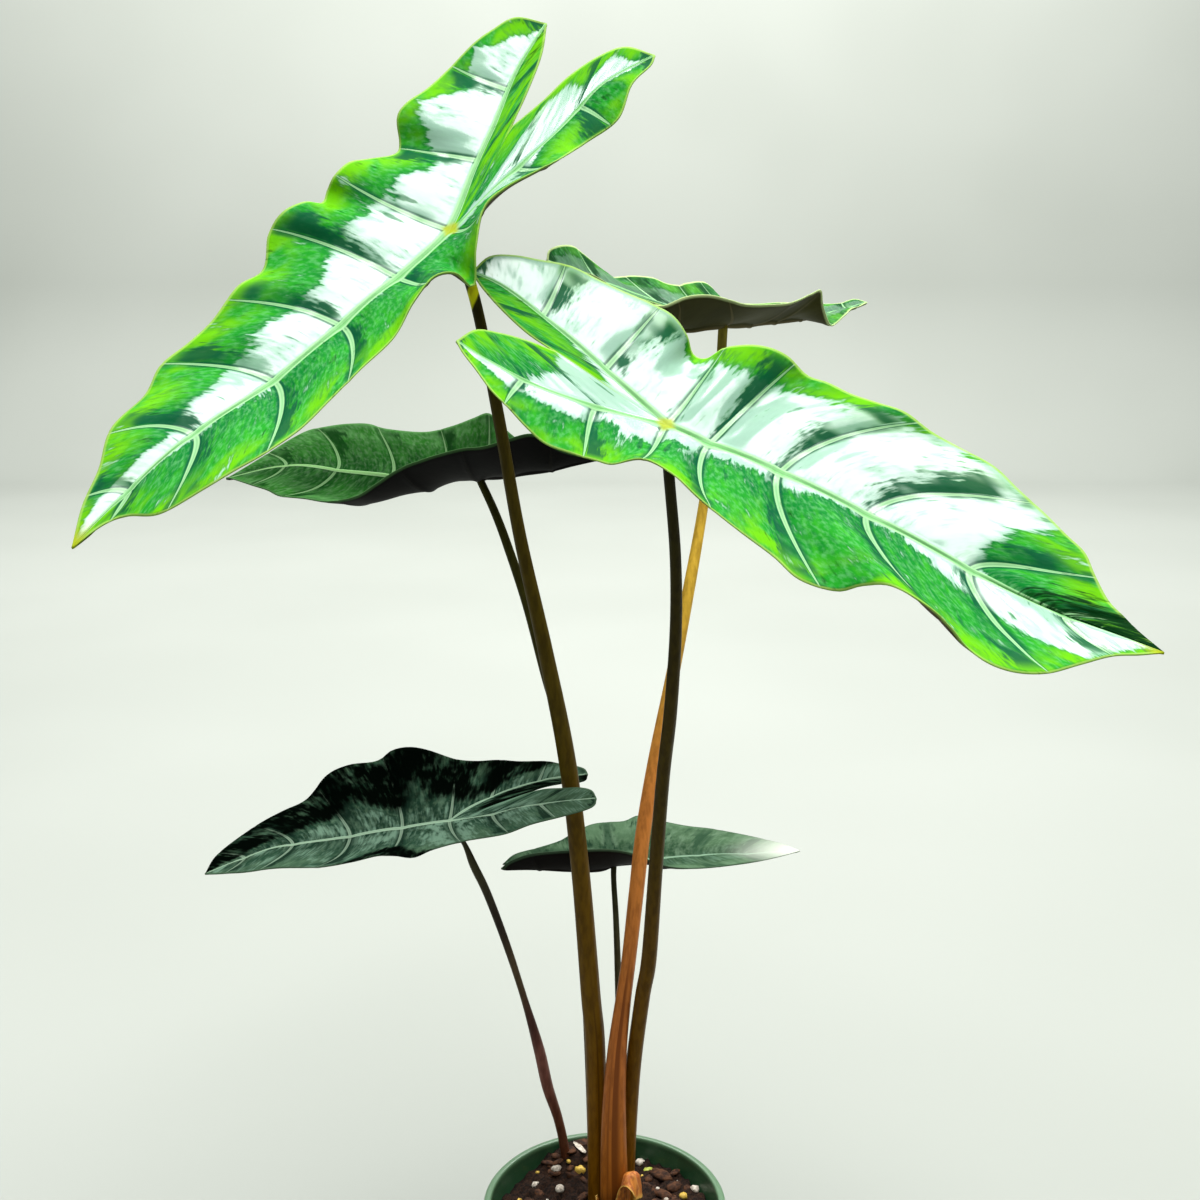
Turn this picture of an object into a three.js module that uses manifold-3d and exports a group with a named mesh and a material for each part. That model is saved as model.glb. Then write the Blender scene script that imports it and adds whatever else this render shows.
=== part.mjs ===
// A potted alocasia chantrieri: six arrow-shaped leaves on their own petioles in a nursery pot of soil.
// Millimetres, +Z up. The origin is the middle of the pot's base, on the surface that the pot stands on.
import * as THREE from "three";
import { mergeVertices } from "three/addons/utils/BufferGeometryUtils.js";
import Module from "manifold-3d";

// Driving dimensions of the holder and of what all leaves share
const GAP = 0.3;
const POT = {
  height: 92, rimRadius: 52.5, rimWidth: 3.2, rimHeight: 11, baseRadius: 36, wall: 1.3, floor: 2.2,
  sides: 48, drains: 8, drainRadius: 4, drainRing: 29,
};
const SOIL = {
  level: 83, heap: 9, heapX: -11.5, heapY: 44, heapSpread: 15, stemHeap: 3, stemSpread: 13,
  lump: 0.9, sides: 32, rings: 7, bits: 24, seed: 29,
};
const BLADE = {
  thickness: 0.9, ribShare: 0.012, bendPower: 1.6, lobeSweepPower: 1.35,
  rowsPerCell: 4, columns: [0, 0.06, 0.3, 0.55, 0.8, 1], innerColumns: [0, 0.12, 1],
  lobeCells: 3, rowsPerLobeCell: 3,
};
const PETIOLE = { sides: 10, step: 32 };
const SHEATH = {
  middle: [4, -4], foot: 79, reach: 7.2, lip: 95, peak: 108, flare: 0.6, curlRadius: 1.8, hang: 9,
  from: -198, turn: 175, columns: 14, rises: [0, 0.3, 0.55, 0.625, 0.7, 0.775, 0.85, 1], straight: 0.55,
};
const BACK_SHARE = 0.75;

const COLOURS = {
  brightBlade: { color: 0x3f9c4a, roughness: 0.28 },
  darkBlade: { color: 0x1f4a35, roughness: 0.35 },
  olivePetiole: { color: 0x453407, roughness: 0.5 },
  orangePetiole: { color: 0xa0602a, roughness: 0.5 },
  brownPetiole: { color: 0x4c3528, roughness: 0.5 },
  pot: { color: 0x1d4a2a, roughness: 0.45 },
  soil: { color: 0x2a1a12, roughness: 0.95 },
  drySheath: { color: 0xc4701f, roughness: 0.7 },
};

// Each leaf. spine: a point every quarter of the midrib, from three quarters behind the petiole joint
// to the tip. face: which way the upper side looks along that stretch. An outline point is
// [mm along the midrib from the joint, mm across from it, mm above it], so both halves give a plus
// across. edge: from the tip round to the lobe's end. inner: from the notch between the lobes to the
// lobe's end. rib: the lobe's own rib, from the joint. shoulder: the edge point beside the joint.
// belly: how far the half sags between rib and edge, from the joint to the tip. lobeBelly: the same from
// the joint to the lobe's end.
// veins: where the side veins leave the midrib, as shares of it. sweep: how much further towards the tip
// they reach the edge, and sweepPower how late they bend that way.
// petiole: [x, y, z, radius] from the soil to the joint.
const LEAVES = {
  leaf_upper_left: {
    look: "brightBlade",
    petioleLook: "olivePetiole",
    midrib: 176,
    veins: [0.16, 0.32, 0.5, 0.71, 0.87],
    quilt: 3,
    spine: [
      [0, 28, 597], [-18, 6, 565], [-36, -17, 531], [-54, -40, 498],
      [-80, -67, 473], [-106, -94, 449], [-130, -121, 431], [-154, -150, 405],
    ],
    face: [
      [-0.15, -0.78, 0.6], [-0.15, -0.75, 0.62], [-0.12, -0.72, 0.67], [-0.1, -0.67, 0.73],
      [-0.06, -0.62, 0.78], [-0.05, -0.6, 0.8], [-0.05, -0.6, 0.8], [-0.05, -0.6, 0.8],
    ],
    right: {
      sweep: 0.09,
      sweepPower: 2.2,
      shoulder: 15,
      edge: [
        [176, 0, 0], [164, 7, 2], [152, 12, 3], [139, 20, 4], [122, 25, 2], [109, 31, 4], [95, 31, 6],
        [82, 32, 7], [67, 34, 10], [54, 36, 7], [43, 43, 11], [36, 43, 15], [27, 42, 14], [20, 41, 10],
        [14, 43, 11], [8, 42, 15], [-5, 42, 14], [-15, 40, 9], [-24, 35, 4], [-31, 37, 1], [-38, 40, 6],
        [-44, 39, 7], [-54, 36, 5], [-66, 34, 3], [-78, 29, 5], [-86, 25, 5], [-94, 19, 5], [-97, 8, 2],
      ],
      rib: [[0, 0, 0], [-23, 4, 0], [-46, 6, 0], [-72, 9, 1], [-97, 8, 2]],
      inner: [[-50, 0, 0], [-66, 1, 1], [-82, 3, 2], [-97, 8, 2]],
    },
    left: {
      sweep: 0.17,
      sweepPower: 1.5,
      shoulder: 16,
      edge: [
        [176, 0, 0], [166, 3, 1], [161, 8, 2], [157, 18, 4], [145, 25, 6], [134, 28, 6], [124, 31, 7],
        [108, 31, 7], [92, 30, 9], [76, 29, 10], [60, 29, 11], [48, 27, 15], [36, 26, 17], [28, 28, 14],
        [24, 31, 7], [17, 27, 16], [5, 22, 22], [-8, 23, 21], [-22, 27, 16], [-34, 30, 10],
        [-47, 32, 4], [-57, 40, 7], [-70, 40, 10], [-80, 43, 10], [-86, 42, 9],
      ],
      rib: [[0, 0, 0], [-20, 6, 1], [-46, 18, 3], [-70, 26, 5], [-86, 42, 9]],
      inner: [[-50, 0, 0], [-62, 7, 2], [-74, 12, 3], [-84, 20, 5], [-89, 29, 7], [-86, 42, 9]],
    },
    petiole: [
      [-3, 7, 60, 4.3], [-3, 6, 95, 4.3], [-4, 4, 160, 4.2], [-6, 1, 188, 4.1], [-10, -5, 245, 3.7],
      [-15, -12, 295, 3.4], [-23, -20, 342, 2.9], [-32, -26, 388, 2.4], [-39, -31, 433, 2.2],
      [-46, -36, 473, 2], [-53, -40, 496.5, 2.2],
    ],
  },
  leaf_upper_right: {
    look: "brightBlade",
    petioleLook: "olivePetiole",
    midrib: 174,
    veins: [0.1, 0.26, 0.44, 0.64, 0.82],
    quilt: 3,
    spine: [
      [-88, -52, 500], [-52, -61, 479], [-16, -70, 457], [20, -80, 434],
      [53, -106, 422], [87, -132, 407], [120, -157, 391], [150, -182, 382],
    ],
    face: [
      [0.3, -0.62, 0.72], [0.25, -0.62, 0.74], [0.15, -0.58, 0.79], [0, -0.54, 0.83],
      [-0.07, -0.53, 0.84], [-0.07, -0.53, 0.84], [-0.07, -0.53, 0.84], [-0.07, -0.53, 0.84],
    ],
    right: {
      sweep: 0.17,
      sweepPower: 1.4,
      shoulder: 18,
      edge: [
        [174, 0, 0], [169, 5, 1], [164, 12, 4], [159, 21, 6], [154, 30, 8], [147, 35, 9], [139, 36, 9],
        [131, 35, 10], [125, 34, 13], [117, 33, 15], [105, 33, 15], [97, 35, 11], [91, 38, 7],
        [80, 40, 6], [69, 37, 6], [56, 36, 8], [43, 35, 11], [32, 33, 14], [19, 33, 15], [5, 36, 10],
        [-5, 37, 8], [-15, 41, 8], [-25, 43, 6], [-33, 43, 7], [-41, 42, 9], [-48, 40, 9],
        [-57, 35, 8], [-64, 31, 7], [-69, 27, 6],
      ],
      rib: [[0, 0, 0], [-18, 10, 1], [-38, 20, 2], [-56, 25, 4], [-69, 27, 6]],
      inner: [[-45, 0, 0], [-54, 4, 1], [-62, 9, 2], [-68, 16, 4], [-69, 27, 6]],
    },
    left: {
      sweep: 0.2,
      sweepPower: 2.2,
      shoulder: 20,
      edge: [
        [174, 0, 0], [165, 3, 1], [158, 6, 2], [151, 10, 2], [143, 16, 4], [136, 22, 5], [127, 26, 5],
        [118, 29, 6], [107, 32, 7], [97, 35, 8], [85, 37, 7], [75, 37, 8], [65, 38, 10], [56, 38, 9],
        [46, 38, 8], [37, 38, 9], [30, 37, 10], [23, 37, 15], [16, 36, 17], [7, 36, 15], [-2, 37, 9],
        [-7, 38, 0], [-11, 38, -1], [-15, 37, 6], [-22, 37, 10], [-31, 37, 9], [-40, 38, 6],
        [-50, 36, 6], [-60, 33, 7], [-70, 28, 6], [-78, 24, 5], [-84, 18, 4], [-85, 9, 2],
      ],
      rib: [[0, 0, 0], [-24, 5, 0], [-50, 10, 0], [-72, 12, 1], [-85, 9, 2]],
      inner: [[-45, 0, 0], [-56, 0, 0], [-68, 2, 1], [-78, 5, 2], [-85, 9, 2]],
    },
    petiole: [
      [8.8, 8, 60, 4.1], [8.8, 7, 95, 4.1], [11.7, 2, 149, 3.3], [15.5, -4, 188, 3.1], [18, -10, 209, 3.1],
      [20, -20, 252, 2.8], [22, -32, 294, 2.6], [24, -45, 325, 2.5], [25, -57, 359, 2.2],
      [24, -68, 388, 2], [21, -78, 418, 1.9], [20, -80, 432.6, 2.3],
    ],
  },
  leaf_back_right: {
    look: "brightBlade",
    petioleLook: "orangePetiole",
    midrib: 145,
    veins: [0.14, 0.3, 0.47, 0.65, 0.83],
    quilt: 1.8,
    spine: [
      [-44, -2, 487], [-13, 15, 480], [18, 32, 473], [49, 50, 465],
      [70, 80, 465], [91, 110, 466], [111, 140, 468], [130, 170, 472],
    ],
    face: [[0, -0.1, 1], [0, -0.1, 1]],
    right: {
      sweep: 0.12,
      sweepPower: 1.6,
      belly: [1, 0, 0, 0],
      lobeBelly: [1, 1, 0],
      shoulder: 14,
      edge: [
        [145, 0, 0], [130, 3, 0.6], [113, 5, 1], [96, 9, -0.5], [78, 13, -2.7], [68, 15, -2],
        [56, 17, 7], [51, 18, 13.6], [41, 19, 12.6], [30, 20, 11], [19, 21, 10], [10, 22, 9.4],
        [1, 23, 9], [-10, 24, 8], [-17, 25, 8.5], [-26, 26, 8], [-37, 26, 4.4], [-46, 26, -0.8],
        [-56, 25, -0.6], [-64, 22, 1.5], [-73, 16, 4.9], [-80, 8, 5],
      ],
      rib: [[0, 0, 0], [-12, 5, -3], [-22, 8, -6], [-34, 10, -6], [-52, 11, -2], [-80, 8, 5]],
      inner: [[-30, 0, 0], [-44, 3, -1], [-62, 4, 2], [-80, 8, 5]],
    },
    left: {
      sweep: 0.12,
      sweepPower: 1.6,
      belly: [0, 0, 0, 0],
      lobeBelly: [0, 0, 0],
      shoulder: 11,
      edge: [
        [145, 0, 0], [140, 5, 1.9], [128, 8, 1.2], [112, 12, 2.5], [98, 15, 3.4], [84, 18, 4.8],
        [60, 21, 5], [38, 24, 7],
        [32, 25, 12.8], [24, 26, 15.6], [5, 26, 14.4], [-6, 27, 12], [-17, 27, 10.3], [-24, 28, 10.7],
        [-32, 29, 9.3], [-40, 29, 7.1], [-48, 28, 10], [-57, 26, 13.3], [-64, 22, 15], [-72, 17, 14],
        [-79, 12, 11], [-81, 8, 6.8],
      ],
      rib: [[0, 0, 0], [-26, 10, 1], [-54, 13, 4], [-81, 8, 6.8]],
      inner: [[-30, 0, 0], [-46, 3, 1], [-64, 4, 3], [-81, 8, 6.8]],
    },
    petiole: [
      [4, -4, 60, 6], [4, -4, 95, 6], [3.8, -4, 132, 5.2], [5, -3.4, 162, 4.1], [7.5, -1.2, 185, 3.3],
      [10, 1, 204, 3], [13, 4, 232, 3.1], [16, 9, 258, 3.1], [21, 17, 286, 3], [28, 25, 319, 2.8],
      [35, 31, 356, 2.5], [41, 39, 389, 2.1], [47, 47, 430, 2], [49, 50, 463.5, 2],
    ],
  },
  leaf_middle_left: {
    look: "darkBlade",
    petioleLook: "olivePetiole",
    midrib: 139,
    veins: [0.16, 0.36, 0.57, 0.77],
    quilt: 1.6,
    spine: [
      [34, -15, 417], [6, 0, 412], [-22, 15, 407], [-50, 30, 404],
      [-78, 46, 401], [-108, 62, 401], [-139, 78, 402], [-172, 95, 394],
    ],
    face: [[0, -0.15, 1], [0, -0.15, 1]],
    right: {
      sweep: 0.12,
      sweepPower: 1.6,
      belly: [0, 0, 0, 0],
      lobeBelly: [0, 0, 0],
      shoulder: 10,
      edge: [
        [139, 0, 0], [125, 12, 5], [110, 22, 10.6], [101, 24, 12], [89, 25, 14], [79, 25, 15],
        [68, 25, 13.6], [48, 25, 13.4], [32, 25, 16.3], [19, 25, 19.3], [9, 24, 21], [2, 22, 16],
        [-8, 20, 9.5], [-22, 18, 5], [-38, 14, 3], [-50, 10, 2], [-60, 5, 2],
      ],
      rib: [[0, 0, 0], [-20, 9, 2], [-42, 9, 2], [-60, 5, 2]],
      inner: [[-26, 0, 0], [-38, 2, 1], [-50, 3, 1.5], [-60, 5, 2]],
    },
    left: {
      sweep: 0.12,
      sweepPower: 1.6,
      belly: [3, 7, 2.5, 0],
      lobeBelly: [3, 1, 0],
      shoulder: 13,
      edge: [
        [139, 0, 0], [134, 4, 0.5], [118, 11, -4.6], [106, 16, -7.1], [96, 19, -8.8], [80, 22, -7.1],
        [65, 24, -6.2], [50, 25, -2.6], [39, 25, 3], [30, 25, 7.2], [21, 25, 10.3], [12, 25, 12.3],
        [2, 25, 14.3], [-10, 25, 16.3], [-21, 25, 16.8], [-35, 25, 19.1], [-47, 24, 19.5],
        [-52, 16, 11.7], [-57, 10, 7.4], [-63, 4, 4],
      ],
      rib: [[0, 0, 0], [-13, 5, 1], [-27, 8, 2.5], [-41, 9, 3.1], [-51, 7, 3.7], [-63, 4, 4]],
      inner: [[-26, 0, 0], [-38, 2, 1], [-50, 2.5, 3], [-63, 4, 4]],
    },
    petiole: [
      [-4, 15, 60, 3.2], [-4, 15, 95, 3.2], [-6, 14, 160, 3], [-9, 14, 220, 2.8], [-12, 15, 250, 2.6],
      [-14, 16.5, 272, 2.5], [-17.5, 17.5, 298, 2.4], [-24, 19, 321, 2.2], [-31.8, 21, 351, 2],
      [-39.6, 23, 375, 1.8], [-45, 26, 389, 1.7], [-51.5, 30, 402.5, 1.6],
    ],
  },
  leaf_lower_left: {
    look: "darkBlade",
    petioleLook: "brownPetiole",
    midrib: 100,
    veins: [0.2, 0.42, 0.66, 0.85],
    quilt: 1.8,
    spine: [
      [9.5, 4, 281.5], [-15, 4, 275.7], [-39.5, 4, 270], [-64, 4, 264], [-88.5, 4, 260.2],
      [-113, 3.5, 256], [-138, 3, 252], [-165.5, 2, 241.5],
    ],
    face: [[0, 0, 1], [0, 0, 1]],
    right: {
      sweep: 0.14,
      sweepPower: 1.6,
      shoulder: 11,
      edge: [
        [100, 0, 0], [95, 7, 3.9], [83, 17, 6.1], [72, 22, 8], [63, 25, 10.4], [54, 29, 18.3],
        [43, 31, 21], [31, 32, 20.3], [24, 33, 23.7], [17, 34, 23.7], [9, 34, 21.1], [-3, 33, 15.5],
        [-12, 33, 12.5], [-21, 32, 11], [-30, 30, 8.8], [-41, 28, 7], [-47, 27, 4.8], [-53, 26.4, 2.6],
        [-56.8, 25, 0.8], [-57.8, 22.5, -1],
      ],
      rib: [[0, 0, 0], [-8, 7, 1], [-18, 13, 1.5], [-27, 17, 1.4], [-40, 21, 1], [-57.8, 22.5, -1]],
      inner: [
        [-33, 0, 4], [-40, 9, 2.6], [-46, 16, 0], [-52, 17.6, -1.8], [-56.4, 19.6, -2.4], [-57.8, 22.5, -1],
      ],
    },
    left: {
      sweep: 0.14,
      sweepPower: 1.6,
      belly: [0.5, 3, 1, 0],
      lobeBelly: [0.5, 0, 0],
      shoulder: 9,
      edge: [
        [100, 0, 0], [92, 6, -1], [80, 12, -2.9], [55, 20, -3.1], [39, 25, -1.5], [27, 27, 0.1],
        [19, 30, 0], [11, 33, -0.7], [3, 32, 1], [-8, 31, 1.5], [-25, 33, 1], [-37, 33, 2.5],
        [-51, 31, 2.2], [-58.5, 30, 2.3], [-62, 28.6, 3], [-63, 26, 4.6],
      ],
      rib: [[0, 0, 0], [-10, 6, 1], [-20, 12, 2.5], [-35, 19, 5], [-49, 24, 5.6], [-63, 26, 4.6]],
      inner: [
        [-33, 0, 4], [-39, 8, 7], [-44, 14, 8.8], [-50, 18.4, 9.2], [-57, 20.5, 8.6], [-61.6, 22.6, 7],
        [-63, 26, 4.6],
      ],
    },
    petiole: [
      [-15.5, 36, 60, 2.4], [-17.8, 38, 88, 2.2], [-20.8, 35, 108, 2.1], [-25.6, 30.5, 128, 2.5],
      [-29.1, 26, 149, 2.4], [-35, 20.5, 176, 1.5], [-41.8, 15.6, 203, 1.6], [-49.4, 10.5, 229, 1.7],
      [-54.5, 7, 243, 1.7], [-58.4, 5.2, 254, 1], [-64, 4, 262.6, 1.2],
    ],
  },
  leaf_lower_right: {
    look: "darkBlade",
    petioleLook: "brownPetiole",
    midrib: 86,
    veins: [0.22, 0.46, 0.72],
    quilt: 1.2,
    spine: [
      [-62, 20, 237], [-41, 26, 235], [-19, 32, 233], [4, 38, 232],
      [25, 42, 232], [45, 46, 232], [66, 50, 231], [88, 54, 231],
    ],
    face: [[0, 0, 1], [0, 0, 1]],
    right: {
      sweep: 0.12,
      sweepPower: 1.6,
      belly: [1, 1, 0, 0],
      lobeBelly: [1, 0.5, 0],
      shoulder: 9,
      edge: [
        [86, 0, 0], [76, 5, 0.2], [59, 10, -0.1], [43, 13, -0.3], [31, 14, 0.4], [21, 15, 2.7],
        [15, 15, 4.9], [10, 15, 7.6], [3, 15, 10.4], [-5, 15, 12.2], [-14, 14, 12.4], [-28, 12, 11.3],
        [-37, 9, 9], [-44, 5, 4.4], [-47, 2, 0],
      ],
      rib: [[0, 0, 0], [-7, 3, -1], [-19, 4, 0], [-33, 4, 1], [-47, 2, 0]],
      inner: [[-18, 0, 0], [-28, 1, 0], [-38, 1.5, 0], [-47, 2, 0]],
    },
    left: {
      sweep: 0.12,
      sweepPower: 1.6,
      shoulder: 8,
      edge: [
        [86, 0, 0], [80, 9, 0.5], [67, 18, 1.9], [53, 23, 3.4], [42, 26, 4], [32, 28, 5.9],
        [18, 29, 9.8], [10, 27, 8.4], [2, 26, 8.8], [-5, 24, 8.7], [-14, 19, 6.4], [-19, 16, 5],
        [-29, 13, 3.2], [-39, 9, 2], [-45, 4, -0.5],
      ],
      rib: [[0, 0, 0], [-16, 7, 1], [-32, 7, 1], [-45, 4, -0.5]],
      inner: [[-18, 0, 0], [-28, 2, 0], [-38, 3, 0], [-45, 4, -0.5]],
    },
    petiole: [
      [7, 18, 60, 2], [7, 18, 95, 2], [7, 20, 140, 1.8], [6, 24, 180, 1.5], [5, 30, 208, 1.3],
      [4, 36, 224, 1.2], [4, 38, 230.5, 1.3],
    ],
  },
};

const wasm = await Module();
wasm.setup();

// Booleans on closed meshes
function toSolid(geometry) {
  const bare = geometry.clone();
  bare.deleteAttribute("normal");
  bare.deleteAttribute("uv");
  const merged = mergeVertices(bare, 1e-4);
  return new wasm.Manifold(
    new wasm.Mesh({
      numProp: 3,
      vertProperties: new Float32Array(merged.attributes.position.array),
      triVerts: new Uint32Array(merged.index.array),
    }),
  );
}

function toGeometry(solid) {
  const mesh = solid.getMesh();
  const geometry = new THREE.BufferGeometry();
  const places = new Float32Array(mesh.numVert * 3);
  for (let i = 0; i < mesh.numVert; i++) {
    places.set(mesh.vertProperties.subarray(i * mesh.numProp, i * mesh.numProp + 3), i * 3);
  }
  geometry.setAttribute("position", new THREE.BufferAttribute(places, 3));
  geometry.setIndex(new THREE.BufferAttribute(new Uint32Array(mesh.triVerts), 1));
  geometry.computeVertexNormals();
  return geometry;
}

// The biggest body of a solid, without the loose scraps that a cut can leave
function mainBody(solid) {
  const bodies = solid.decompose();
  return bodies.reduce((best, body) => (body.volume() > best.volume() ? body : best));
}

function seededRandom(seed) {
  let state = seed;
  return () => {
    state = (state * 1664525 + 1013904223) % 4294967296;
    return state / 4294967296;
  };
}

const smooth = (points) =>
  new THREE.CatmullRomCurve3(
    points.map((p) => new THREE.Vector3(...p)),
    false,
    "catmullrom",
    0.5,
  );

// A sheet of triangles whose shared corners are found by their place
class Sheet {
  constructor() {
    this.places = [];
    this.depths = [];
    this.triangles = [];
    this.seen = new Map();
  }

  corner(place, depth) {
    const key = [place.x, place.y, place.z].map((n) => Math.round(n * 500)).join();
    if (!this.seen.has(key)) {
      this.seen.set(key, this.places.length);
      this.places.push(place);
      this.depths.push(depth);
    }
    return this.seen.get(key);
  }

  triangle(a, b, c) {
    if (a !== b && b !== c && a !== c) this.triangles.push([a, b, c]);
  }

  // rows of corner numbers; flip turns the faces round
  patch(rows, flip) {
    for (let i = 0; i + 1 < rows.length; i++) {
      for (let j = 0; j + 1 < rows[i].length; j++) {
        const [a, b, c, d] = [rows[i][j], rows[i][j + 1], rows[i + 1][j + 1], rows[i + 1][j]];
        if (flip) {
          this.triangle(a, b, c);
          this.triangle(a, c, d);
        } else {
          this.triangle(a, c, b);
          this.triangle(a, d, c);
        }
      }
    }
  }

  normals() {
    const sums = this.places.map(() => new THREE.Vector3());
    for (const [a, b, c] of this.triangles) {
      const ab = this.places[b].clone().sub(this.places[a]);
      const ac = this.places[c].clone().sub(this.places[a]);
      const face = ab.cross(ac);
      for (const corner of [a, b, c]) sums[corner].add(face);
    }
    return sums.map((n) => n.normalize());
  }

  // The closed body between the sheet raised by above and the sheet lowered by its depth plus below
  body(above, below) {
    const n = this.places.length;
    const normals = this.normals();
    const corners = [];
    this.places.forEach((p, i) => corners.push(...p.clone().addScaledVector(normals[i], above)));
    this.places.forEach((p, i) =>
      corners.push(...p.clone().addScaledVector(normals[i], -this.depths[i] - below)),
    );
    const faces = [];
    const sides = new Set();
    for (const [a, b, c] of this.triangles) {
      faces.push(a, b, c, n + a, n + c, n + b);
      for (const [from, to] of [[a, b], [b, c], [c, a]]) sides.add(from + "," + to);
    }
    for (const side of sides) {
      const [from, to] = side.split(",").map(Number);
      if (sides.has(to + "," + from)) continue;
      faces.push(from, n + from, n + to, from, n + to, to);
    }
    const geometry = new THREE.BufferGeometry();
    geometry.setAttribute("position", new THREE.Float32BufferAttribute(corners, 3));
    geometry.setIndex(faces);
    geometry.computeVertexNormals();
    return geometry;
  }
}

// Leaf blades
function spinePlace(leaf, spine, face, along, across, above) {
  const t = (along / leaf.midrib + BACK_SHARE) / (1 + BACK_SHARE);
  const place = spine.getPoint(t);
  const forward = spine.getTangent(t);
  const up = face.getPoint(t);
  up.addScaledVector(forward, -up.dot(forward)).normalize();
  const right = forward.clone().cross(up);
  return place.addScaledVector(right, across).addScaledVector(up, above);
}

// Half of a blade. The rows of each patch run from a rib to the edge, and a vein lies on every
// row where a cell of the quilting ends.
function addHalf(sheet, leaf, half, hand, spine, face) {
  const edge = smooth(half.edge);
  const rib = smooth(half.rib);
  const inner = smooth(half.inner);
  const shoulder = half.edge[half.shoulder];
  const arcs = edge.getLengths(400);
  const shoulderArc = arcs[Math.round((400 * half.shoulder) / (half.edge.length - 1))] / arcs[400];
  const joint = new THREE.Vector3(0, 0, 0);
  const sags = smooth((half.belly ?? [0, 0]).map((sag) => [sag, 0, 0]));
  const lobeSags = smooth((half.lobeBelly ?? [0, 0]).map((sag) => [sag, 0, 0]));

  const corner = (from, to, q, row) => {
    const along = from.x + (to.x - from.x) * q ** row.sweepPower;
    const across = from.y + (to.y - from.y) * q;
    const bump = row.quilt * Math.sin(Math.PI * row.cell) * Math.sin(Math.PI * q ** 0.8);
    const sag = row.belly * Math.sin(Math.PI * q ** 0.9);
    const above = from.z + (to.z - from.z) * q ** row.bendPower + bump - sag;
    const place = spinePlace(leaf, spine, face, along, hand * across, above);
    return sheet.corner(place, BLADE.thickness + (q === 0 ? row.ribDepth : 0));
  };

  // From the joint to the tip
  const frontRows = [];
  const stops = [0, ...leaf.veins, 1];
  const front = (stops.length - 1) * BLADE.rowsPerCell;
  for (let i = 0; i <= front; i++) {
    const cell = Math.min(Math.floor(i / BLADE.rowsPerCell), stops.length - 2);
    const r = THREE.MathUtils.lerp(stops[cell], stops[cell + 1], i / BLADE.rowsPerCell - cell);
    const from = new THREE.Vector3(leaf.midrib * r, 0, 0);
    const arc = shoulderArc * (1 - r - half.sweep * Math.sin(Math.PI * r));
    const to = i === 0 ? new THREE.Vector3(...shoulder) : edge.getPointAt(Math.max(arc, 0));
    const row = {
      sweepPower: THREE.MathUtils.lerp(BLADE.lobeSweepPower, half.sweepPower, Math.min(r / stops[1], 1)),
      bendPower: BLADE.bendPower,
      cell: (i % BLADE.rowsPerCell) / BLADE.rowsPerCell,
      quilt: leaf.quilt * (1 - r ** 3),
      belly: sags.getPoint(r).x,
      ribDepth: leaf.midrib * BLADE.ribShare * (1 - 0.85 * r),
    };
    frontRows.push(BLADE.columns.map((q) => corner(from, to, q, row)));
  }
  sheet.patch(frontRows, hand > 0);

  // From the joint to the lobe's end, outside the lobe's rib and inside it
  const outerRows = [];
  const innerRows = [];
  const back = BLADE.lobeCells * BLADE.rowsPerLobeCell;
  for (let i = 0; i <= back; i++) {
    const r = i / back;
    const from = i === 0 ? joint : rib.getPointAt(r);
    const arc = Math.min(shoulderArc + (1 - shoulderArc) * r, 1);
    const to = i === 0 ? new THREE.Vector3(...shoulder) : edge.getPointAt(arc);
    const row = {
      sweepPower: BLADE.lobeSweepPower,
      bendPower: BLADE.bendPower,
      cell: (i % BLADE.rowsPerLobeCell) / BLADE.rowsPerLobeCell,
      quilt: leaf.quilt * (1 - r ** 2),
      belly: lobeSags.getPoint(r).x,
      ribDepth: leaf.midrib * BLADE.ribShare * (1 - 0.8 * r),
    };
    outerRows.push(BLADE.columns.map((q) => corner(from, to, q, row)));
    const web = { ...row, sweepPower: 1, bendPower: 1, quilt: 0, belly: 0 };
    const rim = i === 0 ? new THREE.Vector3(...half.inner[0]) : inner.getPointAt(r);
    innerRows.push(BLADE.innerColumns.map((q) => corner(from, rim, q, web)));
  }
  sheet.patch(outerRows, hand < 0);
  sheet.patch(innerRows, hand > 0);
}

function bladeSheet(leaf) {
  const sheet = new Sheet();
  const spine = smooth(leaf.spine);
  const face = smooth(leaf.face);
  addHalf(sheet, leaf, leaf.right, 1, spine, face);
  addHalf(sheet, leaf, leaf.left, -1, spine, face);
  return sheet;
}

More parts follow.
